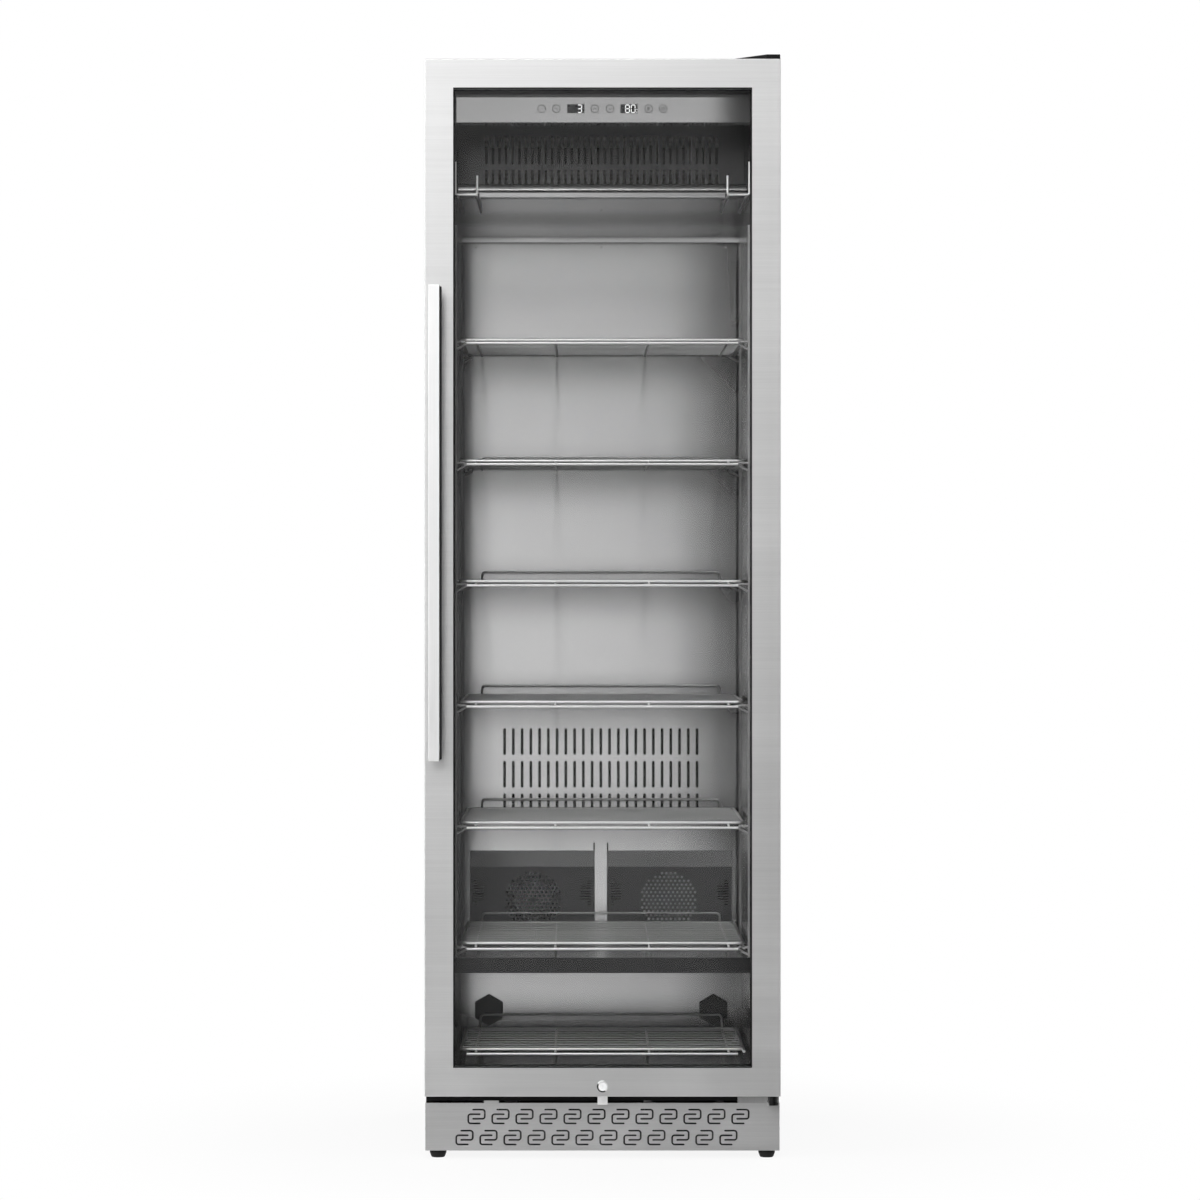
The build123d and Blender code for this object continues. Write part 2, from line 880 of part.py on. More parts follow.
# Evaporator: fins on four tube passes, hung from the ceiling by its end fins
coil_depth_size = coil_back_depth - coil_front_depth
coil_middle = (coil_front_depth + coil_back_depth) / 2
coil_level = (coil_bottom + coil_top) / 2
coil_reach = 2 * coil_half_width
coil_plane = Plane((-coil_half_width, behind(coil_middle), coil_level), x_dir=(0, 1, 0), z_dir=(1, 0, 0))
with BuildPart() as evaporator:
    with Locations((0, behind(coil_middle), coil_level)):
        with GridLocations(coil_reach / (coil_fin_count - 1), 1, coil_fin_count, 1):
            Box(coil_fin_thickness, coil_depth_size, coil_top - coil_bottom)
    with BuildSketch(coil_plane):
        with GridLocations(
            (coil_depth_size - coil_margin) / (coil_columns - 1),
            coil_top - coil_bottom - 2 * coil_margin,
            coil_columns,
            coil_rows,
        ):
            Circle(coil_tube_radius)
    extrude(amount=coil_reach)
    for side in both_sides:
        plate_x = side * coil_half_width
        slab(
            (plate_x - coil_fin_thickness / 2, plate_x + coil_fin_thickness / 2),
            (coil_front_depth, coil_back_depth),
            (coil_top - coil_margin, ceiling_height),
        )
save(evaporator, "evaporator")

# Control panel with two display windows, and the display board behind it
panel_face = Plane((0, behind(panel_depth), 0), x_dir=(1, 0, 0), z_dir=(0, -1, 0))
panel_back_depth = panel_depth + panel_thickness
with BuildPart() as control_panel:
    slab(
        (-inner_fit, inner_fit),
        (panel_depth, panel_back_depth),
        (panel_bottom, panel_top),
    )
    slab(
        (-inner_fit, inner_fit),
        (panel_depth, panel_back_depth + panel_lip),
        (panel_bottom, panel_bottom + panel_sheet),
    )
    with BuildSketch(panel_face):
        with Locations((-display_centre, display_level), (display_centre, display_level)):
            Rectangle(display_width, display_height)
    extrude(amount=-panel_thickness, mode=Mode.SUBTRACT)
save(control_panel, "control_panel")

board_depth = panel_back_depth + board_thickness
with BuildPart() as display_board:
    slab(
        (-board_half_width, board_half_width),
        (board_depth, board_depth + board_thickness),
        (display_level - board_height / 2, display_level + board_height / 2),
    )
    for side in both_sides:
        slab(
            (
                side * display_centre - display_width / 2 + fit_gap / 2,
                side * display_centre + display_width / 2 - fit_gap / 2,
            ),
            (panel_depth + display_recess, board_depth),
            (
                display_level - display_height / 2 + fit_gap / 2,
                display_level + display_height / 2 - fit_gap / 2,
            ),
        )
save(display_board, "display_board")

# Uprights on the side walls and the wire bearers that hook into them
shelf_pitch = (highest_shelf - lowest_shelf) / (shelf_count - 1)
shelf_levels = [lowest_shelf + shelf_pitch * number for number in range(shelf_count)]
upright_bottom = divider_top + fit_gap
upright_top = ceiling_height - upright_drop
bearer_tip = shelf_half_width - bearer_inset
upright_face = inner_half - upright_thickness
bearer_level_drop = frame_wire + fit_gap + bearer_wire
with BuildPart() as shelf_supports:
    for side in both_sides:
        for depth in upright_depths:
            slab(
                sorted((side * upright_face, side * inner_half)),
                (depth - upright_width / 2, depth + upright_width / 2),
                (upright_bottom, upright_top),
            )
            for level in shelf_levels:
                slab(
                    sorted((side * upright_face, side * (upright_face + upright_thickness / 2))),
                    (depth - upright_slot_width / 2, depth + upright_slot_width / 2),
                    (level + bearer_drop, level + bearer_drop + upright_slot_length),
                    Mode.SUBTRACT,
                )
        for level in shelf_levels:
            z = level - bearer_level_drop
            rod(
                (side * shelf_half_width, behind(bearer_front_depth), z),
                (side * shelf_half_width, behind(bearer_back_depth), z),
                bearer_wire,
            )
            for depth in upright_depths:
                bent_wire(
                    (
                        (side * (upright_face - fit_gap), behind(depth), z),
                        (side * bearer_tip, behind(depth), z),
                        (side * (upright_face - fit_gap), behind(depth), z - bearer_drop),
                    ),
                    bearer_wire,
                    bearer_bend,
                )
save(shelf_supports, "shelf_supports")


def shelf_wires(level, back_depth, cross_count, drop, guard):
    # The frame, cross wires, under wires, nose bar and rear guard of a wire shelf
    front_y, back_y = behind(shelf_front_depth), behind(back_depth)
    corners = (
        (-shelf_half_width, front_y, level),
        (shelf_half_width, front_y, level),
        (shelf_half_width, back_y, level),
        (-shelf_half_width, back_y, level),
    )
    bent_wire(corners, frame_wire, shelf_corner, close=True)
    step = (back_y - front_y) / (cross_count + 1)
    for number in range(1, cross_count + 1):
        y = front_y + step * number
        rod((-shelf_half_width, y, level), (shelf_half_width, y, level), cross_wire)
    under = level - cross_wire - under_wire + weld_sink
    nose_y, nose_z = behind(nose_depth), level - drop
    rod((-nose_half_width, nose_y, nose_z), (nose_half_width, nose_y, nose_z), frame_wire)
    for place in under_wire_places:
        for side in both_sides:
            x = side * place
            bent_wire(
                ((x, back_y + wire_overrun, under), (x, front_y, under), (x, nose_y, nose_z)),
                under_wire,
                shelf_corner,
            )
    guard_x = max(under_wire_places)
    guard_points = (
        (-guard_x, back_y, level),
        (-guard_x, back_y, level + guard),
        (guard_x, back_y, level + guard),
        (guard_x, back_y, level),
    )
    bent_wire(guard_points, under_wire, guard_corner)


# Six wire shelves
for number, level in enumerate(reversed(shelf_levels), start=1):
    with BuildPart() as shelf:
        shelf_wires(level, shelf_back_depth, cross_wire_count, nose_drop, guard_height)
    save(shelf, f"shelf_{number}")

# Floor rack on a front and a rear loop
loop_bottom = floor_height + fit_gap + under_wire
with BuildPart() as floor_rack:
    shelf_wires(
        rack_height, rack_back_depth, rack_cross_wire_count, rack_nose_drop, rack_guard_height
    )
    for depth in (nose_depth, rack_rear_loop_depth):
        loop_points = (
            (-shelf_half_width, behind(depth), rack_height),
            (-shelf_half_width, behind(depth), loop_bottom),
            (shelf_half_width, behind(depth), loop_bottom),
            (shelf_half_width, behind(depth), rack_height),
        )
        bent_wire(loop_points, under_wire, loop_corner)
    for side in both_sides:
        rod(
            (side * shelf_half_width, behind(nose_depth - under_wire), rack_height),
            (side * shelf_half_width, behind(shelf_front_depth + shelf_corner), rack_height),
            frame_wire,
        )
save(floor_rack, "floor_rack")

# Wire cradles and the hanging tube that lies in them
cradle_outer = inner_fit - cradle_wire
cradle_front_depth = tube_depth - tube_radius - cradle_wire - fit_gap
cradle_head = cradle_bottom + cradle_wire + fit_gap
cradle_back_depth = duct_front_depth + (cradle_head - duct_front_bottom) / slope
with BuildPart() as tube_cradles:
    for side in both_sides:
        front_y, back_y = behind(cradle_front_depth), behind(cradle_back_depth)
        bent_wire(
            (
                (side * cradle_outer, front_y, tube_height + cradle_outer_rise),
                (side * cradle_outer, front_y, cradle_bottom),
                (side * cradle_inner, front_y, cradle_bottom),
                (side * cradle_inner, front_y, tube_height + cradle_inner_rise),
            ),
            cradle_wire,
            cradle_corner,
        )
        for x in (cradle_outer - cradle_corner, cradle_inner + cradle_rod_inset):
            rod((side * x, front_y, cradle_bottom), (side * x, back_y, cradle_bottom), cradle_wire)
save(tube_cradles, "tube_cradles")

notch_top = cradle_bottom + cradle_wire + fit_gap
with BuildPart() as hanging_tube:
    tube_ends = (
        (-tube_half_length, behind(tube_depth), tube_height),
        (tube_half_length, behind(tube_depth), tube_height),
    )
    rod(*tube_ends, tube_radius)
    rod(*tube_ends, tube_radius - tube_wall, Mode.SUBTRACT)
    for side in both_sides:
        slab(
            sorted((side * (cradle_inner - tube_notch_margin), side * tube_half_length)),
            (tube_depth - tube_radius, tube_depth + tube_radius),
            (tube_height - tube_radius, notch_top),
            Mode.SUBTRACT,
        )
save(hanging_tube, "hanging_tube")

# Hexagonal caps on the lower rear wall
cap_face = Plane((0, behind(lower_back_depth), 0), x_dir=(1, 0, 0), z_dir=(0, -1, 0))
with BuildPart() as hexagon_caps:
    with BuildSketch(cap_face):
        with Locations((-cap_centre, cap_height), (cap_centre, cap_height)):
            RegularPolygon(cap_flats / 2, 6, major_radius=False, rotation=30)
    extrude(amount=cap_thickness)
    chamfer(hexagon_caps.faces().filter_by(Axis.Y).sort_by(Axis.Y)[:2].edges(), cap_edge)
save(hexagon_caps, "hexagon_caps")

# Door skin: a folded steel frame around the glass
hinge_y = behind(hinge_depth)
pocket_x = (-cam_width / 2 - cam_pocket_margin, cam_reach + cam_pocket_margin)
pocket_depths = (core_back_depth, core_back_depth + 2 * cam_gap + cam_thickness)
pocket_top = lock_height + cam_width / 2 + cam_pocket_margin
bush_limits = ((door_bottom, door_bottom + bush_length), (door_top - bush_length, door_top))
lock_front = (0, behind(-lock_rim_proud), lock_height)
lock_back = (0, behind(core_back_depth), lock_height)


def bush_bores():
    # Room in the door for both hinge bushes
    for low, high in bush_limits:
        rod((hinge_x, hinge_y, low), (hinge_x, hinge_y, high), bush_radius, Mode.SUBTRACT)


with BuildPart() as door_frame:
    slab((-half_width, half_width), (0, skin_return), (door_bottom, door_top))
    slab(
        (-half_width + panel_sheet, half_width - panel_sheet),
        (panel_sheet, skin_return),
        (door_bottom + panel_sheet, door_top - panel_sheet),
        Mode.SUBTRACT,
    )
    front_edges = door_frame.faces().sort_by(Axis.Y)[0].edges()
    fillet(front_edges, skin_bend)
    slab(
        (-opening_half, opening_half),
        (0, panel_sheet),
        (opening_bottom, opening_top),
        Mode.SUBTRACT,
    )
    slab(pocket_x, pocket_depths, (door_bottom, pocket_top), Mode.SUBTRACT)
    rod(lock_front, lock_back, lock_barrel_radius, Mode.SUBTRACT)
    bush_bores()
save(door_frame, "door_frame")

# Door core: the insulated profile that holds the glass unit
glass_inset = door_rail - glass_overlap
with BuildPart() as door_core:
    ring(panel_sheet, glass_inset - glass_edge_gap, (panel_sheet, core_back_depth))
    rod(lock_front, lock_back, lock_barrel_radius, Mode.SUBTRACT)
    bush_bores()
save(door_core, "door_core")

with BuildPart() as door_back_frame:
    ring(panel_sheet, door_rail + bead_reveal, (core_back_depth, door_thickness))
    slab(pocket_x, pocket_depths, (door_bottom, pocket_top), Mode.SUBTRACT)
save(door_back_frame, "door_back_frame")

# Glazing: bead, two panes and the spacer between them
outer_pane_depth = panel_sheet + bead_thickness
with BuildPart() as glazing_bead:
    ring(glass_inset, door_rail + bead_reveal, (panel_sheet, outer_pane_depth))
save(glazing_bead, "glazing_bead")

with BuildPart() as glass_panes:
    for depth in (outer_pane_depth, inner_pane_depth):
        slab(
            (-half_width + glass_inset, half_width - glass_inset),
            (depth, depth + glass_thickness),
            (door_bottom + glass_inset, door_top - glass_inset),
        )
save(glass_panes, "glass_panes")

with BuildPart() as glass_spacer:
    ring(
        door_rail + bead_reveal / 2 - spacer_width,
        door_rail + bead_reveal / 2,
        (outer_pane_depth + glass_thickness, inner_pane_depth),
    )
save(glass_spacer, "glass_spacer")

# Magnetic seal on the back of the door
with BuildPart() as door_seal:
    ring(seal_inset, seal_inset + seal_width, (door_thickness, seal_depth - fit_gap))
    fillet(door_seal.faces().sort_by(Axis.Y)[-1].edges(), seal_edge)
save(door_seal, "door_seal")

# Bar handle on two posts
with BuildPart() as door_handle:
    slab(
        (handle_centre - handle_width / 2, handle_centre + handle_width / 2),
        (-handle_reach, handle_bar_thickness - handle_reach),
        (handle_bottom, handle_bottom + handle_length),
    )
    fillet(door_handle.edges(), handle_edge)
    for z in (
        handle_bottom + handle_post_inset,
        handle_bottom + handle_length - handle_post_inset,
    ):
        rod(
            (handle_centre, behind(handle_bar_thickness / 2 - handle_reach), z),
            (handle_centre, behind(0), z),
            handle_post_radius,
        )
save(door_handle, "door_handle")

# Lock: a fixed barrel with its rim, and the plug that turns the cam
with BuildPart() as lock_barrel:
    rod(lock_front, (0, behind(0), lock_height), lock_rim_radius)
    chamfer(lock_barrel.edges().sort_by(Axis.Y)[0], lock_rim_edge)
    rod((0, behind(0), lock_height), lock_back, lock_barrel_radius)
    rod(lock_front, lock_back, lock_plug_radius + running_clearance, Mode.SUBTRACT)
save(lock_barrel, "lock_barrel")

cam_front_depth = core_back_depth + cam_gap
plug_front_depth = -lock_rim_proud - lock_plug_proud
with BuildPart() as lock_plug:
    rod(
        (0, behind(plug_front_depth), lock_height),
        (0, behind(cam_front_depth + cam_thickness), lock_height),
        lock_plug_radius,
    )
    slab(
        (0, cam_reach),
        (cam_front_depth, cam_front_depth + cam_thickness),
        (lock_height - cam_width / 2, lock_height + cam_width / 2),
    )
    slab(
        (-keyway_width / 2, keyway_width / 2),
        (plug_front_depth, plug_front_depth + keyway_depth),
        (lock_height - keyway_length / 2, lock_height + keyway_length / 2),
        Mode.SUBTRACT,
    )
save(lock_plug, "lock_plug")

with BuildPart() as lock_strike:
    slab(
        (-strike_width / 2, strike_width / 2),
        (strike_depth, strike_depth + strike_sheet),
        (kick_top, door_bottom - hinge_gap),
    )
    slab(
        (-strike_width / 2, strike_width / 2),
        (strike_depth, strike_depth + strike_foot_length),
        (bottom_height - strike_sheet, bottom_height),
    )
save(lock_strike, "lock_strike")

# Hinge bushes, the lower one with the collar that the door stands on
arm_top = bottom_height
with BuildPart() as hinge_bushes:
    for low, high in bush_limits:
        rod((hinge_x, hinge_y, low), (hinge_x, hinge_y, high), bush_radius)
    rod(
        (hinge_x, hinge_y, arm_top + fit_gap),
        (hinge_x, hinge_y, door_bottom),
        bush_flange_radius,
    )
    rod(
        (hinge_x, hinge_y, arm_top),
        (hinge_x, hinge_y, door_top),
        pin_radius + running_clearance,
        Mode.SUBTRACT,
    )
save(hinge_bushes, "hinge_bushes")

# Hinges: an arm under the door and a plate over it, each with its pin
arm_right = hinge_x + hinge_arm_half_width
arm_left = hinge_x - hinge_arm_half_width
lower_arm_bottom = arm_top - hinge_arm_thickness
pin_overlap = door_bottom - lower_arm_bottom + pin_length
with BuildPart() as hinges:
    with BuildSketch(Plane.XY.offset(lower_arm_bottom)):
        with Locations((hinge_x, hinge_y)):
            Circle(hinge_arm_half_width)
        Polygon(
            (arm_left, hinge_y),
            (arm_right, hinge_y),
            (arm_right, behind(hinge_plate_back)),
            (lower_plate_left, behind(hinge_plate_back)),
            (lower_plate_left, behind(kick_depth)),
            (arm_left, behind(kick_depth)),
            align=None,
        )
    extrude(amount=hinge_arm_thickness)
    slab(
        (lower_plate_left, lower_plate_lip_right),
        (kick_depth - panel_sheet, seal_depth - fit_gap),
        (lower_arm_bottom, lower_arm_bottom + lower_plate_lip_height),
    )
    rod(
        (hinge_x, hinge_y, lower_arm_bottom),
        (hinge_x, hinge_y, lower_arm_bottom + pin_overlap),
        pin_radius,
    )
    with BuildSketch(Plane.XY.offset(cabinet_height)):
        with Locations((hinge_x, hinge_y)):
            Circle(hinge_arm_half_width)
        Polygon(
            (arm_left, hinge_y),
            (arm_right, hinge_y),
            (arm_right, behind(hinge_plate_back)),
            (hinge_plate_left, behind(hinge_plate_back)),
            (hinge_plate_left, behind(hinge_cover_corner_depth)),
            align=None,
        )
    extrude(amount=hinge_plate_thickness)
    rod(
        (hinge_x, hinge_y, cabinet_height + hinge_plate_thickness),
        (hinge_x, hinge_y, door_top - pin_length),
        pin_radius,
    )
save(hinges, "hinges")

hinge_cover_margin = fit_gap + hinge_cover_wall
hinge_cover_right = arm_right + hinge_cover_margin
hinge_cover_front_depth = hinge_depth - hinge_arm_half_width - hinge_cover_margin
hinge_cover_outline = (
    (hinge_cover_right, behind(hinge_cover_front_depth)),
    (hinge_cover_right, behind(hinge_plate_back + hinge_cover_margin)),
    (hinge_cover_left, behind(hinge_plate_back + hinge_cover_margin)),
    (hinge_cover_left, behind(hinge_cover_corner_depth)),
    (arm_left - hinge_cover_margin, behind(hinge_cover_front_depth)),
)
with BuildPart() as hinge_cover:
    with BuildSketch(Plane.XY.offset(cabinet_height)):
        Polygon(*hinge_cover_outline, align=None)
    extrude(amount=hinge_cover_height)
    fillet(hinge_cover.faces().sort_by(Axis.Z)[-1].edges(), hinge_cover_wall)
    with BuildSketch(Plane.XY.offset(cabinet_height)):
        Polygon(*hinge_cover_outline, align=None)
        offset(amount=-hinge_cover_wall)
    extrude(amount=hinge_plate_thickness + fit_gap, mode=Mode.SUBTRACT)
save(hinge_cover, "hinge_cover")

# Small screws: kick plate sides, rear panel, duct cover and control panel corners
with BuildPart() as screws:
    for side in both_sides:
        for z in kick_screw_heights:
            y = behind(kick_screw_depth)
            rod(
                (side * casing_outside, y, z),
                (side * half_width, y, z),
                screw_shank_radius,
            )
            rod(
                (side * half_width, y, z),
                (side * (half_width + screw_head_height), y, z),
                screw_head_radius,
            )
        for depth, drop in wall_screw_drops:
            z = ceiling_height - drop
            rod(
                (side * inner_half, behind(depth), z),
                (side * (inner_half - screw_head_height), behind(depth), z),
                small_screw_radius,
            )
    for x in back_screw_places:
        rod(
            (x, behind(rear_panel_depth), rear_panel_top - back_screw_inset),
            (x, behind(rear_panel_depth - screw_head_height), rear_panel_top - back_screw_inset),
            small_screw_radius,
        )
    slope_angle = atan(slope)
    duct_screw = Vector(0, behind(duct_screw_depth), duct_underside(duct_screw_depth))
    duct_outward = Vector(0, sin(slope_angle), -cos(slope_angle))
    rod(duct_screw, duct_screw + duct_outward * screw_head_height, small_screw_radius)
save(screws, "screws")

# Compressor on its plate and rubber feet
compressor_y = behind(compressor_depth)
with BuildPart() as compressor:
    rod(
        (compressor_x, compressor_y, compressor_bottom),
        (compressor_x, compressor_y, compressor_top),
        compressor_radius,
    )
    fillet(compressor.edges().sort_by(Axis.Z)[-1], compressor_edge)
    plate_bottom = compressor_bottom - compressor_plate
    with Locations((compressor_x, compressor_y, plate_bottom)):
        Box(
            2 * (compressor_foot_x + compressor_foot_radius),
            2 * (compressor_foot_y + compressor_foot_radius),
            compressor_plate,
            align=centred_low,
        )
    with Locations((compressor_x, compressor_y, base_top)):
        with GridLocations(2 * compressor_foot_x, 2 * compressor_foot_y, 2, 2):
            Cylinder(compressor_foot_radius, plate_bottom - base_top, align=centred_low)
save(compressor, "compressor")

# Condenser with its fan shroud, and the fan that draws air through it
condenser_bottom = base_top
condenser_middle_depth = (condenser_front_depth + condenser_back_depth) / 2
condenser_height_size = condenser_top - condenser_bottom
condenser_middle_z = (condenser_top + condenser_bottom) / 2
condenser_x = (condenser_left + condenser_right) / 2
condenser_length = condenser_right - condenser_left
fin_step = (condenser_height_size - condenser_fin_thickness) / (condenser_fin_count - 1)
shroud_right = condenser_right + shroud_thickness
fan_plane_x = shroud_right + condenser_fan_gap
with BuildPart() as condenser:
    for number in range(condenser_fin_count):
        low = condenser_bottom + number * fin_step
        slab(
            (condenser_left, condenser_right),
            (condenser_front_depth, condenser_back_depth),
            (low, low + condenser_fin_thickness),
        )
    with Locations((condenser_x, behind(condenser_middle_depth), condenser_bottom)):
        with GridLocations(condenser_length / 2, condenser_tube_spacing, 2, 3):
            Cylinder(condenser_tube_radius, condenser_height_size, align=centred_low)
    slab(
        (condenser_right, shroud_right),
        (condenser_front_depth, condenser_back_depth),
        (condenser_bottom, condenser_top),
    )
    rod(
        (condenser_right, behind(condenser_middle_depth), condenser_middle_z),
        (shroud_right, behind(condenser_middle_depth), condenser_middle_z),
        condenser_fan_radius + shroud_thickness,
        Mode.SUBTRACT,
    )
    slab(
        (condenser_right, shroud_right),
        (condenser_front_depth, condenser_back_depth),
        (condenser_middle_z - shroud_strut, condenser_middle_z + shroud_strut),
    )
    rod(
        (condenser_right, behind(condenser_middle_depth), condenser_middle_z),
        (fan_plane_x + condenser_hub_length / 2, behind(condenser_middle_depth), condenser_middle_z),
        fan_shaft_radius,
    )
save(condenser, "condenser")

with BuildPart(
    Plane((fan_plane_x, behind(condenser_middle_depth), condenser_middle_z), z_dir=(1, 0, 0))
) as condenser_fan:
    fan_wheel(
        condenser_fan_hub,
        condenser_hub_length,
        condenser_fan_radius,
        condenser_blade_count,
        condenser_blade_width,
        condenser_blade_tilt,
    )
save(condenser_fan, "condenser_fan")

# Drip tray for the melt water
with BuildPart() as drip_tray:
    slab(
        (tray_left, tray_right),
        (tray_front_depth, tray_back_depth),
        (base_top, base_top + tray_height),
    )
    slab(
        (tray_left + tray_wall, tray_right - tray_wall),
        (tray_front_depth + tray_wall, tray_back_depth - tray_wall),
        (base_top + tray_wall, base_top + tray_height),
        Mode.SUBTRACT,
    )
save(drip_tray, "drip_tray")

# Refrigerant pipe from the compressor to the condenser
pipe_start_x = compressor_x - compressor_radius
pipe_route = (
    (pipe_start_x, compressor_y, pipe_outlet_height),
    (pipe_start_x - pipe_outlet_run, compressor_y, pipe_outlet_height),
    (pipe_start_x - pipe_outlet_run, compressor_y, pipe_top_height),
    (condenser_x, compressor_y, pipe_top_height),
    (condenser_x, compressor_y, condenser_top),
)
with BuildPart() as refrigerant_pipes:
    bent_wire(pipe_route, pipe_radius, pipe_bend)
save(refrigerant_pipes, "refrigerant_pipes")

# Power inlet in the back panel
with BuildPart() as power_inlet:
    slab(
        (inlet_x - inlet_width / 2, inlet_x + inlet_width / 2),
        (cabinet_depth - inlet_body_depth, cabinet_depth),
        (inlet_height - inlet_body_height / 2, inlet_height + inlet_body_height / 2),
    )
    slab(
        (inlet_x - inlet_width / 2 + inlet_rim, inlet_x + inlet_width / 2 - inlet_rim),
        (cabinet_depth - inlet_recess, cabinet_depth),
        (
            inlet_height - inlet_body_height / 2 + inlet_rim,
            inlet_height + inlet_body_height / 2 - inlet_rim,
        ),
        Mode.SUBTRACT,
    )
save(power_inlet, "power_inlet")
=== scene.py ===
# Looks for the dry aging cabinet: studio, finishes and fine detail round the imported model.
import math
import bmesh
import bpy
import numpy as np
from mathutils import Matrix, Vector


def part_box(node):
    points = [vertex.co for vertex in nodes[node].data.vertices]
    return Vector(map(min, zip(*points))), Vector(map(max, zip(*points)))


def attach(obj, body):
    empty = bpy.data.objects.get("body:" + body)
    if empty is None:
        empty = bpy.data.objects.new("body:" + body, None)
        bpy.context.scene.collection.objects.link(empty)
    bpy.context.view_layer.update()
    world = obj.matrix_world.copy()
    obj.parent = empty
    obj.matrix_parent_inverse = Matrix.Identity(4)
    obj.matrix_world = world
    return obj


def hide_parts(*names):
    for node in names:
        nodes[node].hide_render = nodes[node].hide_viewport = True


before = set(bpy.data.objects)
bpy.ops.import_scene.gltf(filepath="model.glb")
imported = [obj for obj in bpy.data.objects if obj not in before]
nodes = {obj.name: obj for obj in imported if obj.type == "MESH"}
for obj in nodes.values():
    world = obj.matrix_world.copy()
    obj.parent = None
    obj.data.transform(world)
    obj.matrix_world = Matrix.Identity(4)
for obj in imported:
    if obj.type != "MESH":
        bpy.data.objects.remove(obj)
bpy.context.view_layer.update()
mm = 0.001
print("stage: packed model loaded,", len(nodes), "nodes")


# Camera and studio
cameraSettings = {"place": (-0.040, -7.115, 0.963), "lens": 122.23, "shift": (0.0178, -0.0125)}
lens = bpy.data.cameras.new("photoCamera")
lens.lens = cameraSettings["lens"]
lens.sensor_width = 36.0
lens.shift_x, lens.shift_y = cameraSettings["shift"]
lens.clip_end = 100.0
camera = bpy.data.objects.new("photoCamera", lens)
camera.location = cameraSettings["place"]
camera.rotation_euler = (math.radians(90), 0, 0)
bpy.context.scene.collection.objects.link(camera)
bpy.context.scene.camera = camera
bpy.context.scene.view_settings.view_transform = "Standard"


def putNode(tree, kind, **settings):
    node = tree.nodes.new(kind)
    for key, value in settings.items():
        setattr(node, key, value)
    return node


def wire(tree, source, target):
    tree.links.new(source, target)


def mathNode(tree, operation, first, second=None, clamp=False):
    # one arithmetic step; a socket is linked and a number is written in
    node = putNode(tree, "ShaderNodeMath", operation=operation, use_clamp=clamp)
    for socket, value in zip(node.inputs, (first, second)):
        if value is None:
            continue
        if isinstance(value, (int, float)):
            socket.default_value = value
        else:
            wire(tree, value, socket)
    return node.outputs[0]


def rangeNode(tree, value, low, high, newLow, newHigh, smooth=False):
    # maps low..high on to newLow..newHigh and holds it at the ends
    node = putNode(tree, "ShaderNodeMapRange", interpolation_type="SMOOTHSTEP" if smooth else "LINEAR")
    wire(tree, value, node.inputs["Value"])
    for name, number in (("From Min", low), ("From Max", high), ("To Min", newLow), ("To Max", newHigh)):
        node.inputs[name].default_value = number
    return node.outputs["Result"]


def blendColour(tree, share, first, second):
    node = putNode(tree, "ShaderNodeMix", data_type="RGBA")
    wire(tree, share, node.inputs[0])
    for socket, value in ((node.inputs[6], first), (node.inputs[7], second)):
        if isinstance(value, (tuple, list)):
            socket.default_value = (*value[:3], 1.0)
        else:
            wire(tree, value, socket)
    return node.outputs[2]


def seenRay(tree):
    # 1 for rays that show the background: camera, mirror and glass rays
    path = putNode(tree, "ShaderNodeLightPath")
    first = mathNode(tree, "MAXIMUM", path.outputs["Is Camera Ray"], path.outputs["Is Glossy Ray"])
    return mathNode(tree, "MAXIMUM", first, path.outputs["Is Transmission Ray"])


def roughRay(tree):
    # 1 for rays that blurred metal has mirrored, and 0 for camera, glass and lamp rays
    path = putNode(tree, "ShaderNodeLightPath")
    mirrored = mathNode(tree, "GREATER_THAN", path.outputs["Glossy Depth"], 0.5)
    return mathNode(tree, "SUBTRACT", mirrored, path.outputs["Is Singular Ray"], clamp=True)


studio = {
    "background": 1.0,
    "fillLevel": 0.80,
    "floorColour": (0.80, 0.80, 0.80),
    "floorFadeStart": 0.45,
    "floorFadeEnd": 1.1,
    "floorShare": 0.90,
    "flagStart": 0.035,     # sideways slope at which the dark flag at the right begins
    "flagEnd": 0.9,
    "flagEdge": 0.004,
    "flagLevel": 0.05,
    "lowTop": -0.101,       # upward slope of the dim strip low in front
    "lowBottom": -0.375,
    "lowEdge": 0.008,
    "lowLevel": 0.20,
    "softboxLow": 0.27,     # upward slope of the large softbox
    "softboxHigh": 0.80,
    "softboxLeft": -3.0,
    "softboxEdge": 0.03,
    "softboxLevel": 5.5,
    "frontStart": -0.20,    # direction towards the front at which these begin, and are full
    "frontFull": -0.30,
    "leastAhead": 0.0001,
}


def tripleOf(tree, vector):
    # the x, y and z of a vector, as three sockets
    parted = putNode(tree, "ShaderNodeSeparateXYZ")
    wire(tree, vector, parted.inputs[0])
    return parted.outputs["X"], parted.outputs["Y"], parted.outputs["Z"]


def facingOf(tree):
    # the x, y and z of the way the surface faces
    return tripleOf(tree, putNode(tree, "ShaderNodeNewGeometry").outputs["Normal"])


def insideRange(tree, value, low, high, edge):
    # 1 between two values, with soft edges
    rise = rangeNode(tree, value, low - edge, low + edge, 0.0, 1.0, smooth=True)
    fall = rangeNode(tree, value, high - edge, high + edge, 1.0, 0.0, smooth=True)
    return mathNode(tree, "MULTIPLY", rise, fall)


world = bpy.data.worlds.new("studioWorld")
world.use_nodes = True
world.cycles.sampling_method = "NONE"
bpy.context.scene.world = world
tree = world.node_tree
tree.nodes.clear()
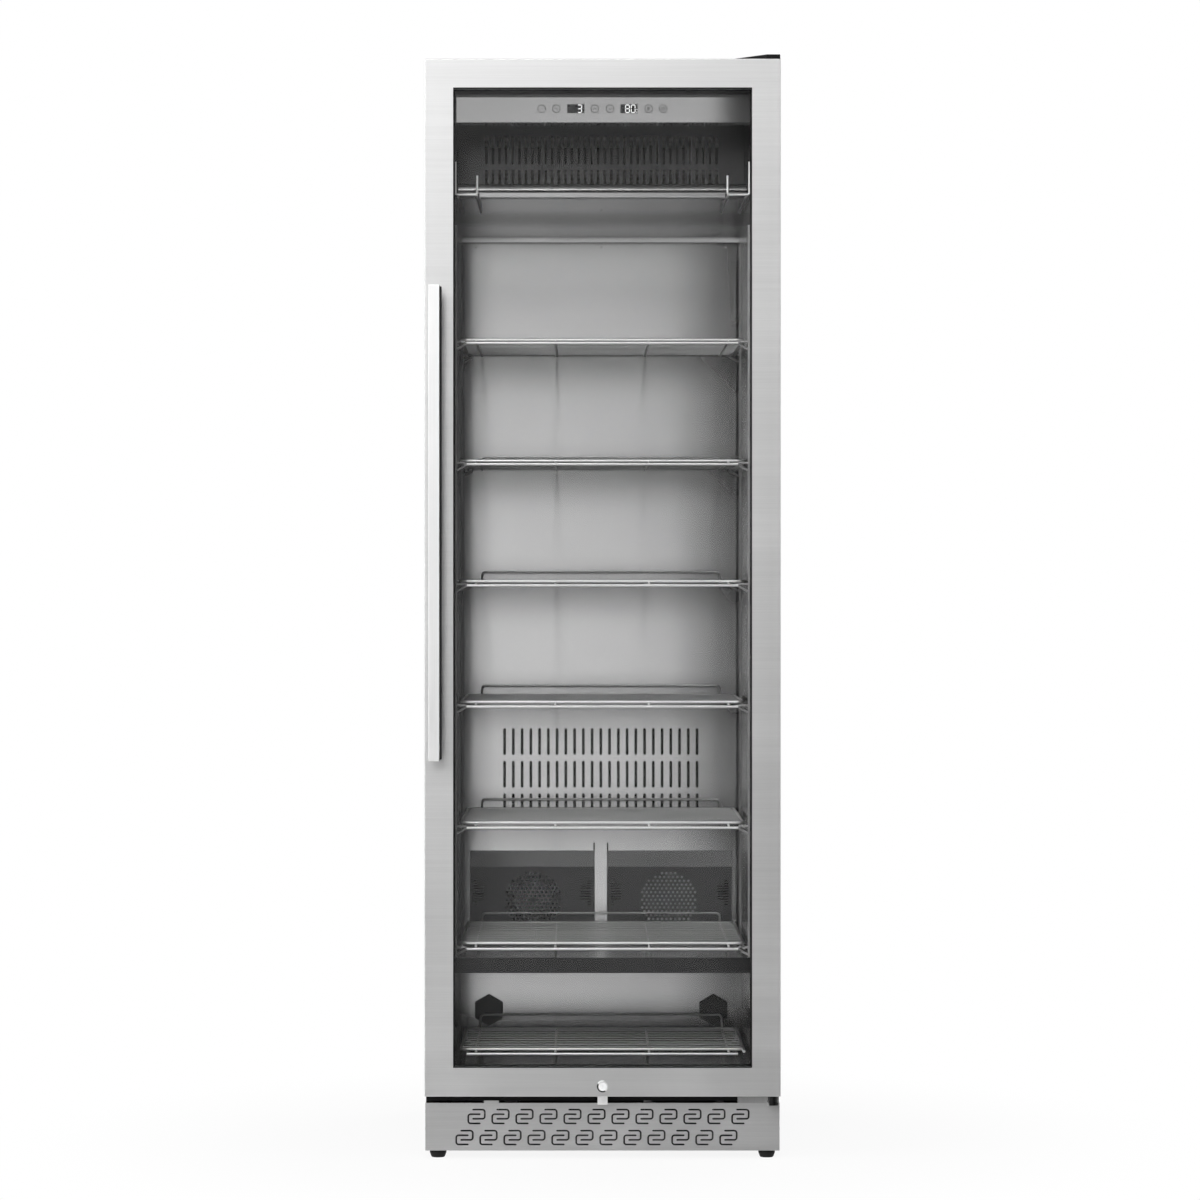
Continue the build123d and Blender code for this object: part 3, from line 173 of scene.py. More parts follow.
# what blurred metal sees: white, with a dark flag at the right, a dim strip low in front and a softbox above
towardsX, towardsY, towardsZ = tripleOf(tree, putNode(tree, "ShaderNodeTexCoord").outputs["Generated"])
ahead = mathNode(tree, "MAXIMUM", mathNode(tree, "MULTIPLY", towardsY, -1.0), studio["leastAhead"])
inFront = rangeNode(tree, towardsY, studio["frontFull"], studio["frontStart"], 1.0, 0.0)
sideways = mathNode(tree, "DIVIDE", towardsX, ahead)
upwards = mathNode(tree, "DIVIDE", towardsZ, ahead)
flagged = insideRange(tree, sideways, studio["flagStart"], studio["flagEnd"], studio["flagEdge"])
flagged = mathNode(tree, "MULTIPLY", flagged, inFront)
low = insideRange(tree, upwards, studio["lowBottom"], studio["lowTop"], studio["lowEdge"])
low = mathNode(tree, "MULTIPLY", low, inFront)
leftSide = insideRange(tree, sideways, studio["softboxLeft"], studio["flagStart"], studio["flagEdge"])
high = insideRange(tree, upwards, studio["softboxLow"], studio["softboxHigh"], studio["softboxEdge"])
high = mathNode(tree, "MULTIPLY", high, mathNode(tree, "MULTIPLY", leftSide, inFront))
level = mathNode(tree, "ADD", 1.0, mathNode(tree, "MULTIPLY", high, studio["softboxLevel"] - 1.0))
level = mathNode(tree, "SUBTRACT", level, mathNode(tree, "MULTIPLY", low, 1.0 - studio["lowLevel"]))
lit = mathNode(tree, "SUBTRACT", 1.0, mathNode(tree, "MULTIPLY", flagged, 1.0 - studio["flagLevel"]))
level = mathNode(tree, "MULTIPLY", level, lit)
mirrorSees = putNode(tree, "ShaderNodeBackground")
wire(tree, level, mirrorSees.inputs["Strength"])
shown = putNode(tree, "ShaderNodeBackground")
shown.inputs["Strength"].default_value = studio["background"]
fill = putNode(tree, "ShaderNodeBackground")
fill.inputs["Strength"].default_value = studio["fillLevel"]
choose = putNode(tree, "ShaderNodeMixShader")
wire(tree, seenRay(tree), choose.inputs[0])
wire(tree, fill.outputs[0], choose.inputs[1])
wire(tree, shown.outputs[0], choose.inputs[2])
chooseRough = putNode(tree, "ShaderNodeMixShader")
wire(tree, mathNode(tree, "MULTIPLY", roughRay(tree), seenRay(tree)), chooseRough.inputs[0])
wire(tree, choose.outputs[0], chooseRough.inputs[1])
wire(tree, mirrorSees.outputs[0], chooseRough.inputs[2])
wire(tree, chooseRough.outputs[0], putNode(tree, "ShaderNodeOutputWorld").inputs["Surface"])
for node in (shown, fill, mirrorSees):
    node.inputs["Color"].default_value = (1, 1, 1, 1)

floorHalf = 30.0
floorMesh = bpy.data.meshes.new("studioFloor")
floorCorners = np.array(((-1, -1, 0), (1, -1, 0), (1, 1, 0), (-1, 1, 0))) * floorHalf
floorMesh.from_pydata(floorCorners.tolist(), [], [(0, 1, 2, 3)])
floor = bpy.data.objects.new("studioFloor", floorMesh)
bpy.context.scene.collection.objects.link(floor)
floorFinish = bpy.data.materials.new("paleFloor")
floorFinish.use_nodes = True
tree = floorFinish.node_tree
tree.nodes.clear()
paint = putNode(tree, "ShaderNodeBsdfDiffuse")
paint.inputs["Color"].default_value = (*studio["floorColour"], 1)
glow = putNode(tree, "ShaderNodeEmission")
coords = putNode(tree, "ShaderNodeTexCoord")
length = putNode(tree, "ShaderNodeVectorMath", operation="LENGTH")
wire(tree, coords.outputs["Object"], length.inputs[0])
away = rangeNode(tree, length.outputs["Value"], studio["floorFadeStart"], studio["floorFadeEnd"],
                 studio["floorShare"], 1.0, smooth=True)
seamless = putNode(tree, "ShaderNodeMixShader")
wire(tree, mathNode(tree, "MULTIPLY", away, seenRay(tree)), seamless.inputs[0])
wire(tree, paint.outputs[0], seamless.inputs[1])
wire(tree, glow.outputs[0], seamless.inputs[2])
clear = putNode(tree, "ShaderNodeBsdfTransparent")
chooseClear = putNode(tree, "ShaderNodeMixShader")
wire(tree, mathNode(tree, "MULTIPLY", roughRay(tree), seenRay(tree)), chooseClear.inputs[0])
wire(tree, seamless.outputs[0], chooseClear.inputs[1])
wire(tree, clear.outputs[0], chooseClear.inputs[2])
wire(tree, chooseClear.outputs[0], putNode(tree, "ShaderNodeOutputMaterial").inputs["Surface"])
floorFinish.cycles.emission_sampling = "NONE"
floor.data.materials.append(floorFinish)

lampSettings = {
    "topSoftbox": {"place": (-0.7, -6.4, 4.3), "aim": (0.0, 0.0, 1.2), "size": 3.0, "power": 130.0},
    "leftSoftbox": {"place": (-3.4, -2.6, 2.4), "aim": (0.0, 0.0, 0.9), "size": 2.2, "power": 44.0},
    "rearFill": {"place": (2.8, 3.6, 2.6), "aim": (0.0, 0.2, 0.9), "size": 2.4, "power": 26.0},
}
for name, setting in lampSettings.items():
    lamp = bpy.data.lights.new(name, "AREA")
    lamp.size = setting["size"]
    lamp.energy = setting["power"]
    holder = bpy.data.objects.new(name, lamp)
    holder.visible_glossy = False
    holder.location = setting["place"]
    direction = Vector(setting["aim"]) - Vector(setting["place"])
    holder.rotation_euler = direction.to_track_quat("-Z", "Y").to_euler()
    bpy.context.scene.collection.objects.link(holder)
print("stage: camera and studio ready")


# Shared effects
def newGroup(name, inputs, outputs):
    # an empty node group with named sockets
    group = bpy.data.node_groups.new(name, "ShaderNodeTree")
    for socketName, kind, value in inputs:
        socket = group.interface.new_socket(name=socketName, in_out="INPUT", socket_type="NodeSocket" + kind)
        socket.default_value = value
    for socketName, kind in outputs:
        group.interface.new_socket(name=socketName, in_out="OUTPUT", socket_type="NodeSocket" + kind)
    return group, putNode(group, "NodeGroupInput"), putNode(group, "NodeGroupOutput")


def noiseNode(tree, vector, scale, detail=2.0, roughness=0.5):
    node = putNode(tree, "ShaderNodeTexNoise")
    wire(tree, vector, node.inputs["Vector"])
    node.inputs["Detail"].default_value = detail
    node.inputs["Roughness"].default_value = roughness
    if isinstance(scale, (int, float)):
        node.inputs["Scale"].default_value = scale
    else:
        wire(tree, scale, node.inputs["Scale"])
    return node.outputs["Fac"]


# Brushed grain: noise squeezed across the brushing and drawn out along it
brushedGrain, gIn, gOut = newGroup(
    "brushedGrain",
    [("Vector", "Vector", (0, 0, 0)), ("Stretch", "Vector", (8, 900, 900)), ("Tone Spread", "Float", 0.06)],
    [("Grain", "Float"), ("Tone", "Float")],
)
drawn = putNode(brushedGrain, "ShaderNodeVectorMath", operation="MULTIPLY")
wire(brushedGrain, gIn.outputs["Vector"], drawn.inputs[0])
wire(brushedGrain, gIn.outputs["Stretch"], drawn.inputs[1])
grainMix = {"fineShare": 0.62, "broadShare": 0.38, "broadScale": 0.12, "toneLow": 0.35, "toneHigh": 0.65}
fine = noiseNode(brushedGrain, drawn.outputs[0], 1.0, 3.0, 0.6)
broad = noiseNode(brushedGrain, drawn.outputs[0], grainMix["broadScale"], 2.0, 0.5)
grain = mathNode(brushedGrain, "ADD", mathNode(brushedGrain, "MULTIPLY", fine, grainMix["fineShare"]),
                 mathNode(brushedGrain, "MULTIPLY", broad, grainMix["broadShare"]))
wire(brushedGrain, grain, gOut.inputs["Grain"])
lowTone = mathNode(brushedGrain, "SUBTRACT", 1.0, gIn.outputs["Tone Spread"])
toneShare = rangeNode(brushedGrain, grain, grainMix["toneLow"], grainMix["toneHigh"], 0.0, 2.0)
toneRise = mathNode(brushedGrain, "MULTIPLY", toneShare, gIn.outputs["Tone Spread"])
wire(brushedGrain, mathNode(brushedGrain, "ADD", lowTone, toneRise), gOut.inputs["Tone"])

# Handling marks: soft patches where fingers and cloths have been
handlingMarks, gIn, gOut = newGroup(
    "handlingMarks",
    [("Vector", "Vector", (0, 0, 0)), ("Scale", "Float", 7.0), ("Amount", "Float", 0.05)],
    [("Marks", "Float")],
)
patch = noiseNode(handlingMarks, gIn.outputs["Vector"], gIn.outputs["Scale"], 3.0, 0.55)
smear = rangeNode(handlingMarks, patch, 0.42, 0.68, 0.0, 1.0, smooth=True)
wire(handlingMarks, mathNode(handlingMarks, "MULTIPLY", smear, gIn.outputs["Amount"]), gOut.inputs["Marks"])

# Moulded texture: a fine pebble, as spark-eroded tools leave on plastic
mouldedPebble, gIn, gOut = newGroup(
    "mouldedPebble",
    [("Vector", "Vector", (0, 0, 0)), ("Scale", "Float", 1400.0)],
    [("Height", "Float"), ("Shade", "Float")],
)
pebble = putNode(mouldedPebble, "ShaderNodeTexVoronoi", feature="SMOOTH_F1")
wire(mouldedPebble, gIn.outputs["Vector"], pebble.inputs["Vector"])
wire(mouldedPebble, gIn.outputs["Scale"], pebble.inputs["Scale"])
cloud = noiseNode(mouldedPebble, gIn.outputs["Vector"], 30.0, 3.0, 0.6)
wire(mouldedPebble, pebble.outputs["Distance"], gOut.inputs["Height"])
wire(mouldedPebble, rangeNode(mouldedPebble, cloud, 0.3, 0.7, 0.85, 1.15), gOut.inputs["Shade"])

# Settled dust: thin on faces that look up
settledDust, gIn, gOut = newGroup(
    "settledDust", [("Vector", "Vector", (0, 0, 0)), ("Amount", "Float", 0.2)], [("Dust", "Float")],
)
upward = rangeNode(settledDust, facingOf(settledDust)[2], 0.55, 0.98, 0.0, 1.0)
specks = rangeNode(settledDust, noiseNode(settledDust, gIn.outputs["Vector"], 55.0, 4.0, 0.7), 0.35, 0.75, 0.2, 1.0)
fallenShare = mathNode(settledDust, "MULTIPLY", upward, specks)
wire(settledDust, mathNode(settledDust, "MULTIPLY", fallenShare, gIn.outputs["Amount"]), gOut.inputs["Dust"])


def placeGroup(tree, group, vector, **values):
    node = putNode(tree, "ShaderNodeGroup")
    node.node_tree = group
    wire(tree, vector, node.inputs["Vector"])
    for name, value in values.items():
        node.inputs[name.replace("_", " ")].default_value = value
    return node


def startFinish(name):
    # a new material with its Principled shader and object coordinates
    material = bpy.data.materials.new(name)
    material.use_nodes = True
    tree = material.node_tree
    shader = tree.nodes["Principled BSDF"]
    coords = putNode(tree, "ShaderNodeTexCoord").outputs["Object"]
    return material, tree, shader, coords


def dressShader(shader, **values):
    # constants go on the shader's own sockets
    for name, value in values.items():
        shader.inputs[name.replace("_", " ")].default_value = value


def addBump(tree, shader, height, distance, strength=1.0):
    bump = putNode(tree, "ShaderNodeBump")
    bump.inputs["Strength"].default_value = strength
    bump.inputs["Distance"].default_value = distance
    wire(tree, height, bump.inputs["Height"])
    wire(tree, bump.outputs["Normal"], shader.inputs["Normal"])


def tintBy(tree, colour, tone):
    # a colour multiplied by a tone value
    scaled = putNode(tree, "ShaderNodeVectorMath", operation="SCALE")
    if isinstance(colour, (tuple, list)):
        scaled.inputs[0].default_value = colour[:3]
    else:
        wire(tree, colour, scaled.inputs[0])
    wire(tree, tone, scaled.inputs["Scale"])
    return scaled.outputs[0]


grainSettings = {"markScale": 6.0, "markShare": 0.5, "grainLow": 0.3, "grainHigh": 0.7}
pebbleSettings = {"markScale": 11.0, "bumpShare": 0.6, "dustColour": (0.42, 0.41, 0.39)}


def brushedFinish(name, colour, rough, stretch, spread=0.05, marks=0.04, depth=0.000002, shade=None,
                  along=None, uneven=0.03, metallic=1.0):
    # metal with a grain; the marks dull it, the grain tints it, shade, where given, darkens its colour by a mask, in
    # most finishes a painted shade, and along is the way it blurs mirrored light
    material, tree, shader, coords = startFinish(name)
    dressShader(shader, Metallic=metallic)
    if along is not None:
        dressShader(shader, Anisotropic=1.0)
        axis = putNode(tree, "ShaderNodeCombineXYZ")
        for socket, value in zip(axis.inputs, along):
            socket.default_value = value
        wire(tree, axis.outputs[0], shader.inputs["Tangent"])
    grain = placeGroup(tree, brushedGrain, coords, Stretch=stretch, Tone_Spread=spread)
    worn = placeGroup(tree, handlingMarks, coords, Scale=grainSettings["markScale"], Amount=marks)
    dulled = mathNode(tree, "MULTIPLY", worn.outputs["Marks"], grainSettings["markShare"])
    tone = mathNode(tree, "SUBTRACT", grain.outputs["Tone"], dulled)
    if shade is not None:
        tone = mathNode(tree, "MULTIPLY", tone, shade(tree, coords))
    wire(tree, tintBy(tree, colour, tone), shader.inputs["Base Color"])
    roughness = rangeNode(tree, grain.outputs["Grain"], grainSettings["grainLow"], grainSettings["grainHigh"],
                          rough - uneven, rough + uneven)
    wire(tree, mathNode(tree, "ADD", roughness, worn.outputs["Marks"]), shader.inputs["Roughness"])
    addBump(tree, shader, grain.outputs["Grain"], depth)
    return material


def mouldedFinish(name, colour, rough, pebbleScale=1400.0, depth=0.000004, dust=0.0, specular=0.5, coat=0.0,
                  marks=0.08):
    # plastic or paint with a fine pebble, cloudy tone and a little dust
    material, tree, shader, coords = startFinish(name)
    dressShader(shader, Specular_IOR_Level=specular, Coat_Weight=coat)
    skin = placeGroup(tree, mouldedPebble, coords, Scale=pebbleScale)
    base = tintBy(tree, colour, skin.outputs["Shade"])
    if dust:
        fallen = placeGroup(tree, settledDust, coords, Amount=dust)
        base = blendColour(tree, fallen.outputs["Dust"], base, pebbleSettings["dustColour"])
    wire(tree, base, shader.inputs["Base Color"])
    worn = placeGroup(tree, handlingMarks, coords, Scale=pebbleSettings["markScale"], Amount=marks)
    wire(tree, mathNode(tree, "ADD", worn.outputs["Marks"], rough), shader.inputs["Roughness"])
    addBump(tree, shader, skin.outputs["Height"], depth, pebbleSettings["bumpShare"])
    return material


def dressNodes(material, *names):
    for name in names:
        for slot in nodes[name].material_slots:
            slot.material = material


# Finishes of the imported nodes
doorSteel = {"colour": (0.72, 0.72, 0.72), "rough": 0.34, "stretch": (7, 1100, 1100), "spread": 0.035}
dressNodes(brushedFinish("doorSteel", **doorSteel), "door_frame")
kickSteel = {"colour": (0.66, 0.66, 0.66), "rough": 0.34, "stretch": (10, 900, 900), "spread": 0.05}
# painted shade on the cut edges of the kick plate's slots
kickSlotPaintedShade = {"flatLow": 0.2, "flatHigh": 0.8, "darkest": 0.01, "outerX": 0.285}


def kickPaintedSlotShade(tree, coords):
    # painted shade: the cut edges inside the hook-shaped slots are painted dark, for the shade in the slots
    flat = mathNode(tree, "ABSOLUTE", facingOf(tree)[1])
    outer = mathNode(tree, "GREATER_THAN", mathNode(tree, "ABSOLUTE", tripleOf(tree, coords)[0]), kickSlotPaintedShade["outerX"])
    level = rangeNode(tree, flat, kickSlotPaintedShade["flatLow"], kickSlotPaintedShade["flatHigh"], kickSlotPaintedShade["darkest"], 1.0)
    return mathNode(tree, "MAXIMUM", level, outer)


dressNodes(brushedFinish("kickSteel", shade=kickPaintedSlotShade, **kickSteel), "kick_plate")
handleSteel = {"colour": (0.95, 0.95, 0.95), "rough": 0.34, "stretch": (1100, 1100, 7), "spread": 0.03}
# painted shade on the handle's sides, set by the way they face
handleSidePaintedShade = {"right": 0.16, "rightStart": 0.3, "left": 0.45, "leftStart": -0.3, "full": 0.9}


def handlePaintedSideShade(tree, coords):
    # painted shade: the bar's sides are painted darker than its face, the right side most
    sideFacing = facingOf(tree)[0]
    right = rangeNode(tree, sideFacing, handleSidePaintedShade["rightStart"], handleSidePaintedShade["full"], 1.0, handleSidePaintedShade["right"])
    left = rangeNode(tree, sideFacing, -handleSidePaintedShade["full"], handleSidePaintedShade["leftStart"], handleSidePaintedShade["left"], 1.0)
    return mathNode(tree, "MULTIPLY", right, left)


dressNodes(brushedFinish("handleSteel", shade=handlePaintedSideShade, **handleSteel), "door_handle")
polished = {"colour": (0.86, 0.86, 0.86), "rough": 0.12, "stretch": (500, 500, 500), "spread": 0.02, "marks": 0.02}
screwSteel = brushedFinish("screwSteel", **polished)
paleNickel = {"colour": (0.93, 0.93, 0.93), "rough": 0.30, "pebbleScale": 500.0, "depth": 0.000002, "coat": 0.4}
dressNodes(mouldedFinish("paleNickel", **paleNickel), "lock_plug", "lock_strike")
barrelNickel = {"colour": (0.90, 0.90, 0.90), "rough": 0.28, "stretch": (200, 200, 200), "spread": 0.03, "marks": 0.02}
# painted shadow on the lower left of the lock barrel's rim
barrelPaintedShadow = {"centreZ": 0.126, "start": 0.001, "full": 0.004, "darkest": 0.04}


def barrelPaintedShade(tree, coords):
    # painted shadow: the lower left of the barrel's rim is painted dark, as if lit from the upper right
    x, _, z = tripleOf(tree, coords)
    lean = mathNode(tree, "SUBTRACT", mathNode(tree, "SUBTRACT", barrelPaintedShadow["centreZ"], z), x)
    return rangeNode(tree, lean, barrelPaintedShadow["start"], barrelPaintedShadow["full"], 1.0, barrelPaintedShadow["darkest"])


dressNodes(brushedFinish("barrelNickel", shade=barrelPaintedShade, **barrelNickel), "lock_barrel")
hingeSteel = {"colour": (0.50, 0.50, 0.50), "rough": 0.34, "stretch": (300, 300, 40), "spread": 0.06}
hingeArm = {"startX": 0.2780, "fullX": 0.2784, "darkest": 0.05}


def hingeShade(tree, coords):
    # the plate's lip is bare steel and the arm beyond it, past x 278 mm, is dark
    return rangeNode(tree, tripleOf(tree, coords)[0], hingeArm["startX"], hingeArm["fullX"], 1.0, hingeArm["darkest"])


dressNodes(brushedFinish("hingeSteel", shade=hingeShade, **hingeSteel), "hinges", "hinge_bushes")

linerSteel = {"colour": (0.90, 0.90, 0.90), "rough": 0.17, "stretch": (9, 900, 900), "spread": 0.006,
              "marks": 0.01, "along": (0, 0, 1), "depth": 0.0000001, "uneven": 0.005, "metallic": 0.73}
# where painted shade darkens the liner's steel, in metres from the part's origin, and by how much
sidePaintedShading = {"rightStart": 0.125, "rightFull": 0.235, "right": 0.42, "leftFull": -0.250, "leftStart": -0.190,
            "left": 0.58}
shelfPaintedShadows = {"lowest": 0.3555, "pitch": 0.2046, "above": 4.0, "underStart": 0.55, "under": 0.56, "overEnd": 0.25,
             "over": 0.76, "bandsLow": 0.350, "bandsHigh": 1.375, "lowEdge": 0.010, "highEdge": 0.005}
heightPaintedShading = {"lowZ": 0.85, "low": 0.86, "highZ": 1.55, "high": 0.54, "lineStart": 1.572, "lineFull": 1.582,
              "line": 0.35}
stepPaintedShading = {"hiddenStart": 0.325, "hiddenFull": 0.330, "hidden": 0.05, "footFull": 0.165, "footStart": 0.250,
            "foot": 0.08}


def sidePaintedFade(tree, x):
    # painted shade: the steel is painted darker near both corners, more at the right
    right = rangeNode(tree, x, sidePaintedShading["rightStart"], sidePaintedShading["rightFull"], 1.0, sidePaintedShading["right"])
    left = rangeNode(tree, x, sidePaintedShading["leftFull"], sidePaintedShading["leftStart"], sidePaintedShading["left"], 1.0)
    return mathNode(tree, "MULTIPLY", right, left)


def linerPaintedShade(tree, coords):
    # painted shade: the back is painted darker under each shelf as the shelf's shadow, a little darker just over it,
    # darker with height and dark along its top under the duct's edge
    x, _, z = tripleOf(tree, coords)
    rise = mathNode(tree, "DIVIDE", mathNode(tree, "SUBTRACT", z, shelfPaintedShadows["lowest"]), shelfPaintedShadows["pitch"])
    share = mathNode(tree, "FRACT", mathNode(tree, "ADD", rise, shelfPaintedShadows["above"]))
    under = rangeNode(tree, share, shelfPaintedShadows["underStart"], 1.0, 1.0, shelfPaintedShadows["under"], smooth=True)
    over = rangeNode(tree, share, 0.0, shelfPaintedShadows["overEnd"], shelfPaintedShadows["over"], 1.0, smooth=True)
    low = rangeNode(tree, z, shelfPaintedShadows["bandsLow"], shelfPaintedShadows["bandsLow"] + shelfPaintedShadows["lowEdge"], 1.0, 0.0)
    high = rangeNode(tree, z, shelfPaintedShadows["bandsHigh"], shelfPaintedShadows["bandsHigh"] + shelfPaintedShadows["highEdge"], 0.0, 1.0)
    plain = mathNode(tree, "MAXIMUM", low, high)
    bands = mathNode(tree, "MULTIPLY", under, over)
    bands = mathNode(tree, "ADD", bands, mathNode(tree, "MULTIPLY", plain, mathNode(tree, "SUBTRACT", 1.0, bands)))
    line = rangeNode(tree, z, heightPaintedShading["lineStart"], heightPaintedShading["lineFull"], 1.0, heightPaintedShading["line"], smooth=True)
    rising = rangeNode(tree, z, heightPaintedShading["lowZ"], heightPaintedShading["highZ"], heightPaintedShading["low"], heightPaintedShading["high"])
    tone = mathNode(tree, "MULTIPLY", mathNode(tree, "MULTIPLY", bands, line), rising)
    return mathNode(tree, "MULTIPLY", tone, sidePaintedFade(tree, x))


def stepPaintedShade(tree, coords):
    # painted shade on the liner's back: painted dark above the divider, where it is hidden in shade behind the rear
    # panel, and darker where it meets the floor
    x, _, z = tripleOf(tree, coords)
    hidden = rangeNode(tree, z, stepPaintedShading["hiddenStart"], stepPaintedShading["hiddenFull"], 1.0, stepPaintedShading["hidden"])
    foot = rangeNode(tree, z, stepPaintedShading["footFull"], stepPaintedShading["footStart"], stepPaintedShading["foot"], 1.0, smooth=True)
    return mathNode(tree, "MULTIPLY", mathNode(tree, "MULTIPLY", hidden, foot), sidePaintedFade(tree, x))


dressNodes(brushedFinish("linerSteel", shade=linerPaintedShade, **linerSteel), "rear_panel")
dressNodes(brushedFinish("stepSteel", shade=stepPaintedShade, **linerSteel), "liner_back")
# painted shade: the side walls get a darker copy of the liner's steel, for the shade they lie in
wallSteelPaintedShade = {"colour": (0.27, 0.27, 0.27), "rough": 0.22, "stretch": (900, 9, 900), "spread": 0.008, "marks": 0.01,
             "depth": 0.0000001, "uneven": 0.005, "metallic": 0.7}
dressNodes(brushedFinish("wallSteelPaintedShade", **wallSteelPaintedShade), "liner_sides")
floorSteel = {"colour": (0.40, 0.40, 0.40), "rough": 0.16, "stretch": (9, 900, 900), "spread": 0.01, "marks": 0.02,
              "depth": 0.0000001, "uneven": 0.005, "metallic": 0.7}
dressNodes(brushedFinish("floorSteel", **floorSteel), "divider_plate", "liner_floor")
# painted shade: the ceiling gets a much darker copy of the liner's steel, for the shade it lies in
ceilingSteelPaintedShade = {"colour": (0.10, 0.10, 0.10), "rough": 0.40, "stretch": (9, 900, 900), "spread": 0.01, "marks": 0.02,
                "depth": 0.0000001, "uneven": 0.005, "metallic": 0.7}
dressNodes(brushedFinish("ceilingSteelPaintedShade", **ceilingSteelPaintedShade), "liner_ceiling")


# the band settings below are a painted reflection on the duct's slope
ductTone = {"foldLow": 1.6375, "foldHigh": 1.6385, "front": 0.085, "bandLow": 1.598, "bandMiddle": 1.611,
            "bandUpper": 1.613, "bandHigh": 1.628, "band": 0.55}


def ductFrontAndPaintedBand(tree, coords):
    # dark above the fold at 1638 mm, steel below it with a soft darker band across the middle of the slope, a painted
    # reflection
    z = tripleOf(tree, coords)[2]
    front = rangeNode(tree, z, ductTone["foldLow"], ductTone["foldHigh"], 1.0, ductTone["front"])
    below = rangeNode(tree, z, ductTone["bandLow"], ductTone["bandMiddle"], 1.0, ductTone["band"], smooth=True)
    above = rangeNode(tree, z, ductTone["bandUpper"], ductTone["bandHigh"], 0.0, 1.0 - ductTone["band"], smooth=True)
    return mathNode(tree, "MULTIPLY", front, mathNode(tree, "ADD", below, above))


ductSteel = {"colour": (0.95, 0.95, 0.95), "rough": 0.20, "stretch": (9, 900, 900), "spread": 0.01,
             "depth": 0.0000001, "uneven": 0.005, "metallic": 0.7}
dressNodes(brushedFinish("ductSteel", shade=ductFrontAndPaintedBand, **ductSteel), "duct_cover")
panelMetal = {"colour": (0.50, 0.50, 0.50), "rough": 0.03, "stretch": (9, 900, 900), "spread": 0.008, "marks": 0.005,
              "depth": 0.00000002, "uneven": 0.002, "metallic": 0.7}
dressNodes(brushedFinish("panelMetal", **panelMetal), "control_panel")
tubeSteel = {"colour": (0.46, 0.46, 0.46), "rough": 0.14, "stretch": (5, 700, 700), "spread": 0.01,
             "depth": 0.0000001, "uneven": 0.01, "metallic": 0.7}


# painted reflection on the hanging tube, set by the way its surface faces
tubePaintedReflection = {"upperStart": 0.05, "upperFull": 0.20, "upper": 0.45, "lowerFull": -0.25, "lowerStart": -0.12,
            "lower": 1.5, "line": 0.06}


def tubePaintedBands(tree, coords):
    # painted reflection: the tube is painted by the way it faces into two even bands with a dark line between them
    z = facingOf(tree)[2]
    upper = rangeNode(tree, z, tubePaintedReflection["upperStart"], tubePaintedReflection["upperFull"], 0.0, tubePaintedReflection["upper"], smooth=True)
    lower = rangeNode(tree, z, tubePaintedReflection["lowerFull"], tubePaintedReflection["lowerStart"], tubePaintedReflection["lower"], 0.0, smooth=True)
    return mathNode(tree, "ADD", mathNode(tree, "ADD", upper, lower), tubePaintedReflection["line"])


dressNodes(brushedFinish("tubeSteel", shade=tubePaintedBands, **tubeSteel), "hanging_tube")
shelfChrome = {"colour": (0.80, 0.80, 0.80), "rough": 0.30, "stretch": (60, 60, 60), "spread": 0.02, "marks": 0.02,
               "depth": 0.0000001, "uneven": 0.01}
# painted shade on the shelf wires behind the front bars
shelfRearPaintedShade = {"startY": -0.205, "fullY": -0.195, "rear": 0.36}


def shelfPaintedShade(tree, coords):
    # painted shade: the wires behind the front bars are painted darker than the bars, for the dark interior they
    # reflect
    return rangeNode(tree, tripleOf(tree, coords)[1], shelfRearPaintedShade["startY"], shelfRearPaintedShade["fullY"], 1.0, shelfRearPaintedShade["rear"])


dressNodes(brushedFinish("shelfChrome", shade=shelfPaintedShade, **shelfChrome), *[f"shelf_{n}" for n in range(1, 7)],
           "floor_rack", "tube_cradles")
supportSteel = {"colour": (0.36, 0.36, 0.36), "rough": 0.38, "stretch": (200, 200, 30), "spread": 0.05}
# painted shade on the rear shelf uprights
supportRearPaintedShade = {"startY": 0.0, "fullY": 0.05, "rear": 0.55}


def supportPaintedShade(tree, coords):
    # painted shade: the rear uprights are painted darker, as the rear of the cabinet lies in shade
    y = tripleOf(tree, coords)[1]
    return rangeNode(tree, y, supportRearPaintedShade["startY"], supportRearPaintedShade["fullY"], 1.0, supportRearPaintedShade["rear"])


dressNodes(brushedFinish("supportSteel", shade=supportPaintedShade, **supportSteel), "shelf_supports")
# painted shade: the evaporator's fins are a darkened aluminium, for the shade behind the duct's slots
finAluminiumPaintedShade = {"colour": (0.42, 0.42, 0.43), "rough": 0.50, "stretch": (400, 60, 400), "spread": 0.06}
dressNodes(brushedFinish("finAluminiumPaintedShade", **finAluminiumPaintedShade), "evaporator")
spacerAluminium = {"colour": (0.60, 0.61, 0.62), "rough": 0.35, "stretch": (400, 400, 400), "spread": 0.04}
dressNodes(brushedFinish("spacerAluminium", **spacerAluminium), "glass_spacer")
pipeCopper = {"colour": (0.72, 0.40, 0.26), "rough": 0.28, "stretch": (90, 90, 90), "spread": 0.14, "marks": 0.12}
dressNodes(brushedFinish("pipeCopper", **pipeCopper), "refrigerant_pipes")

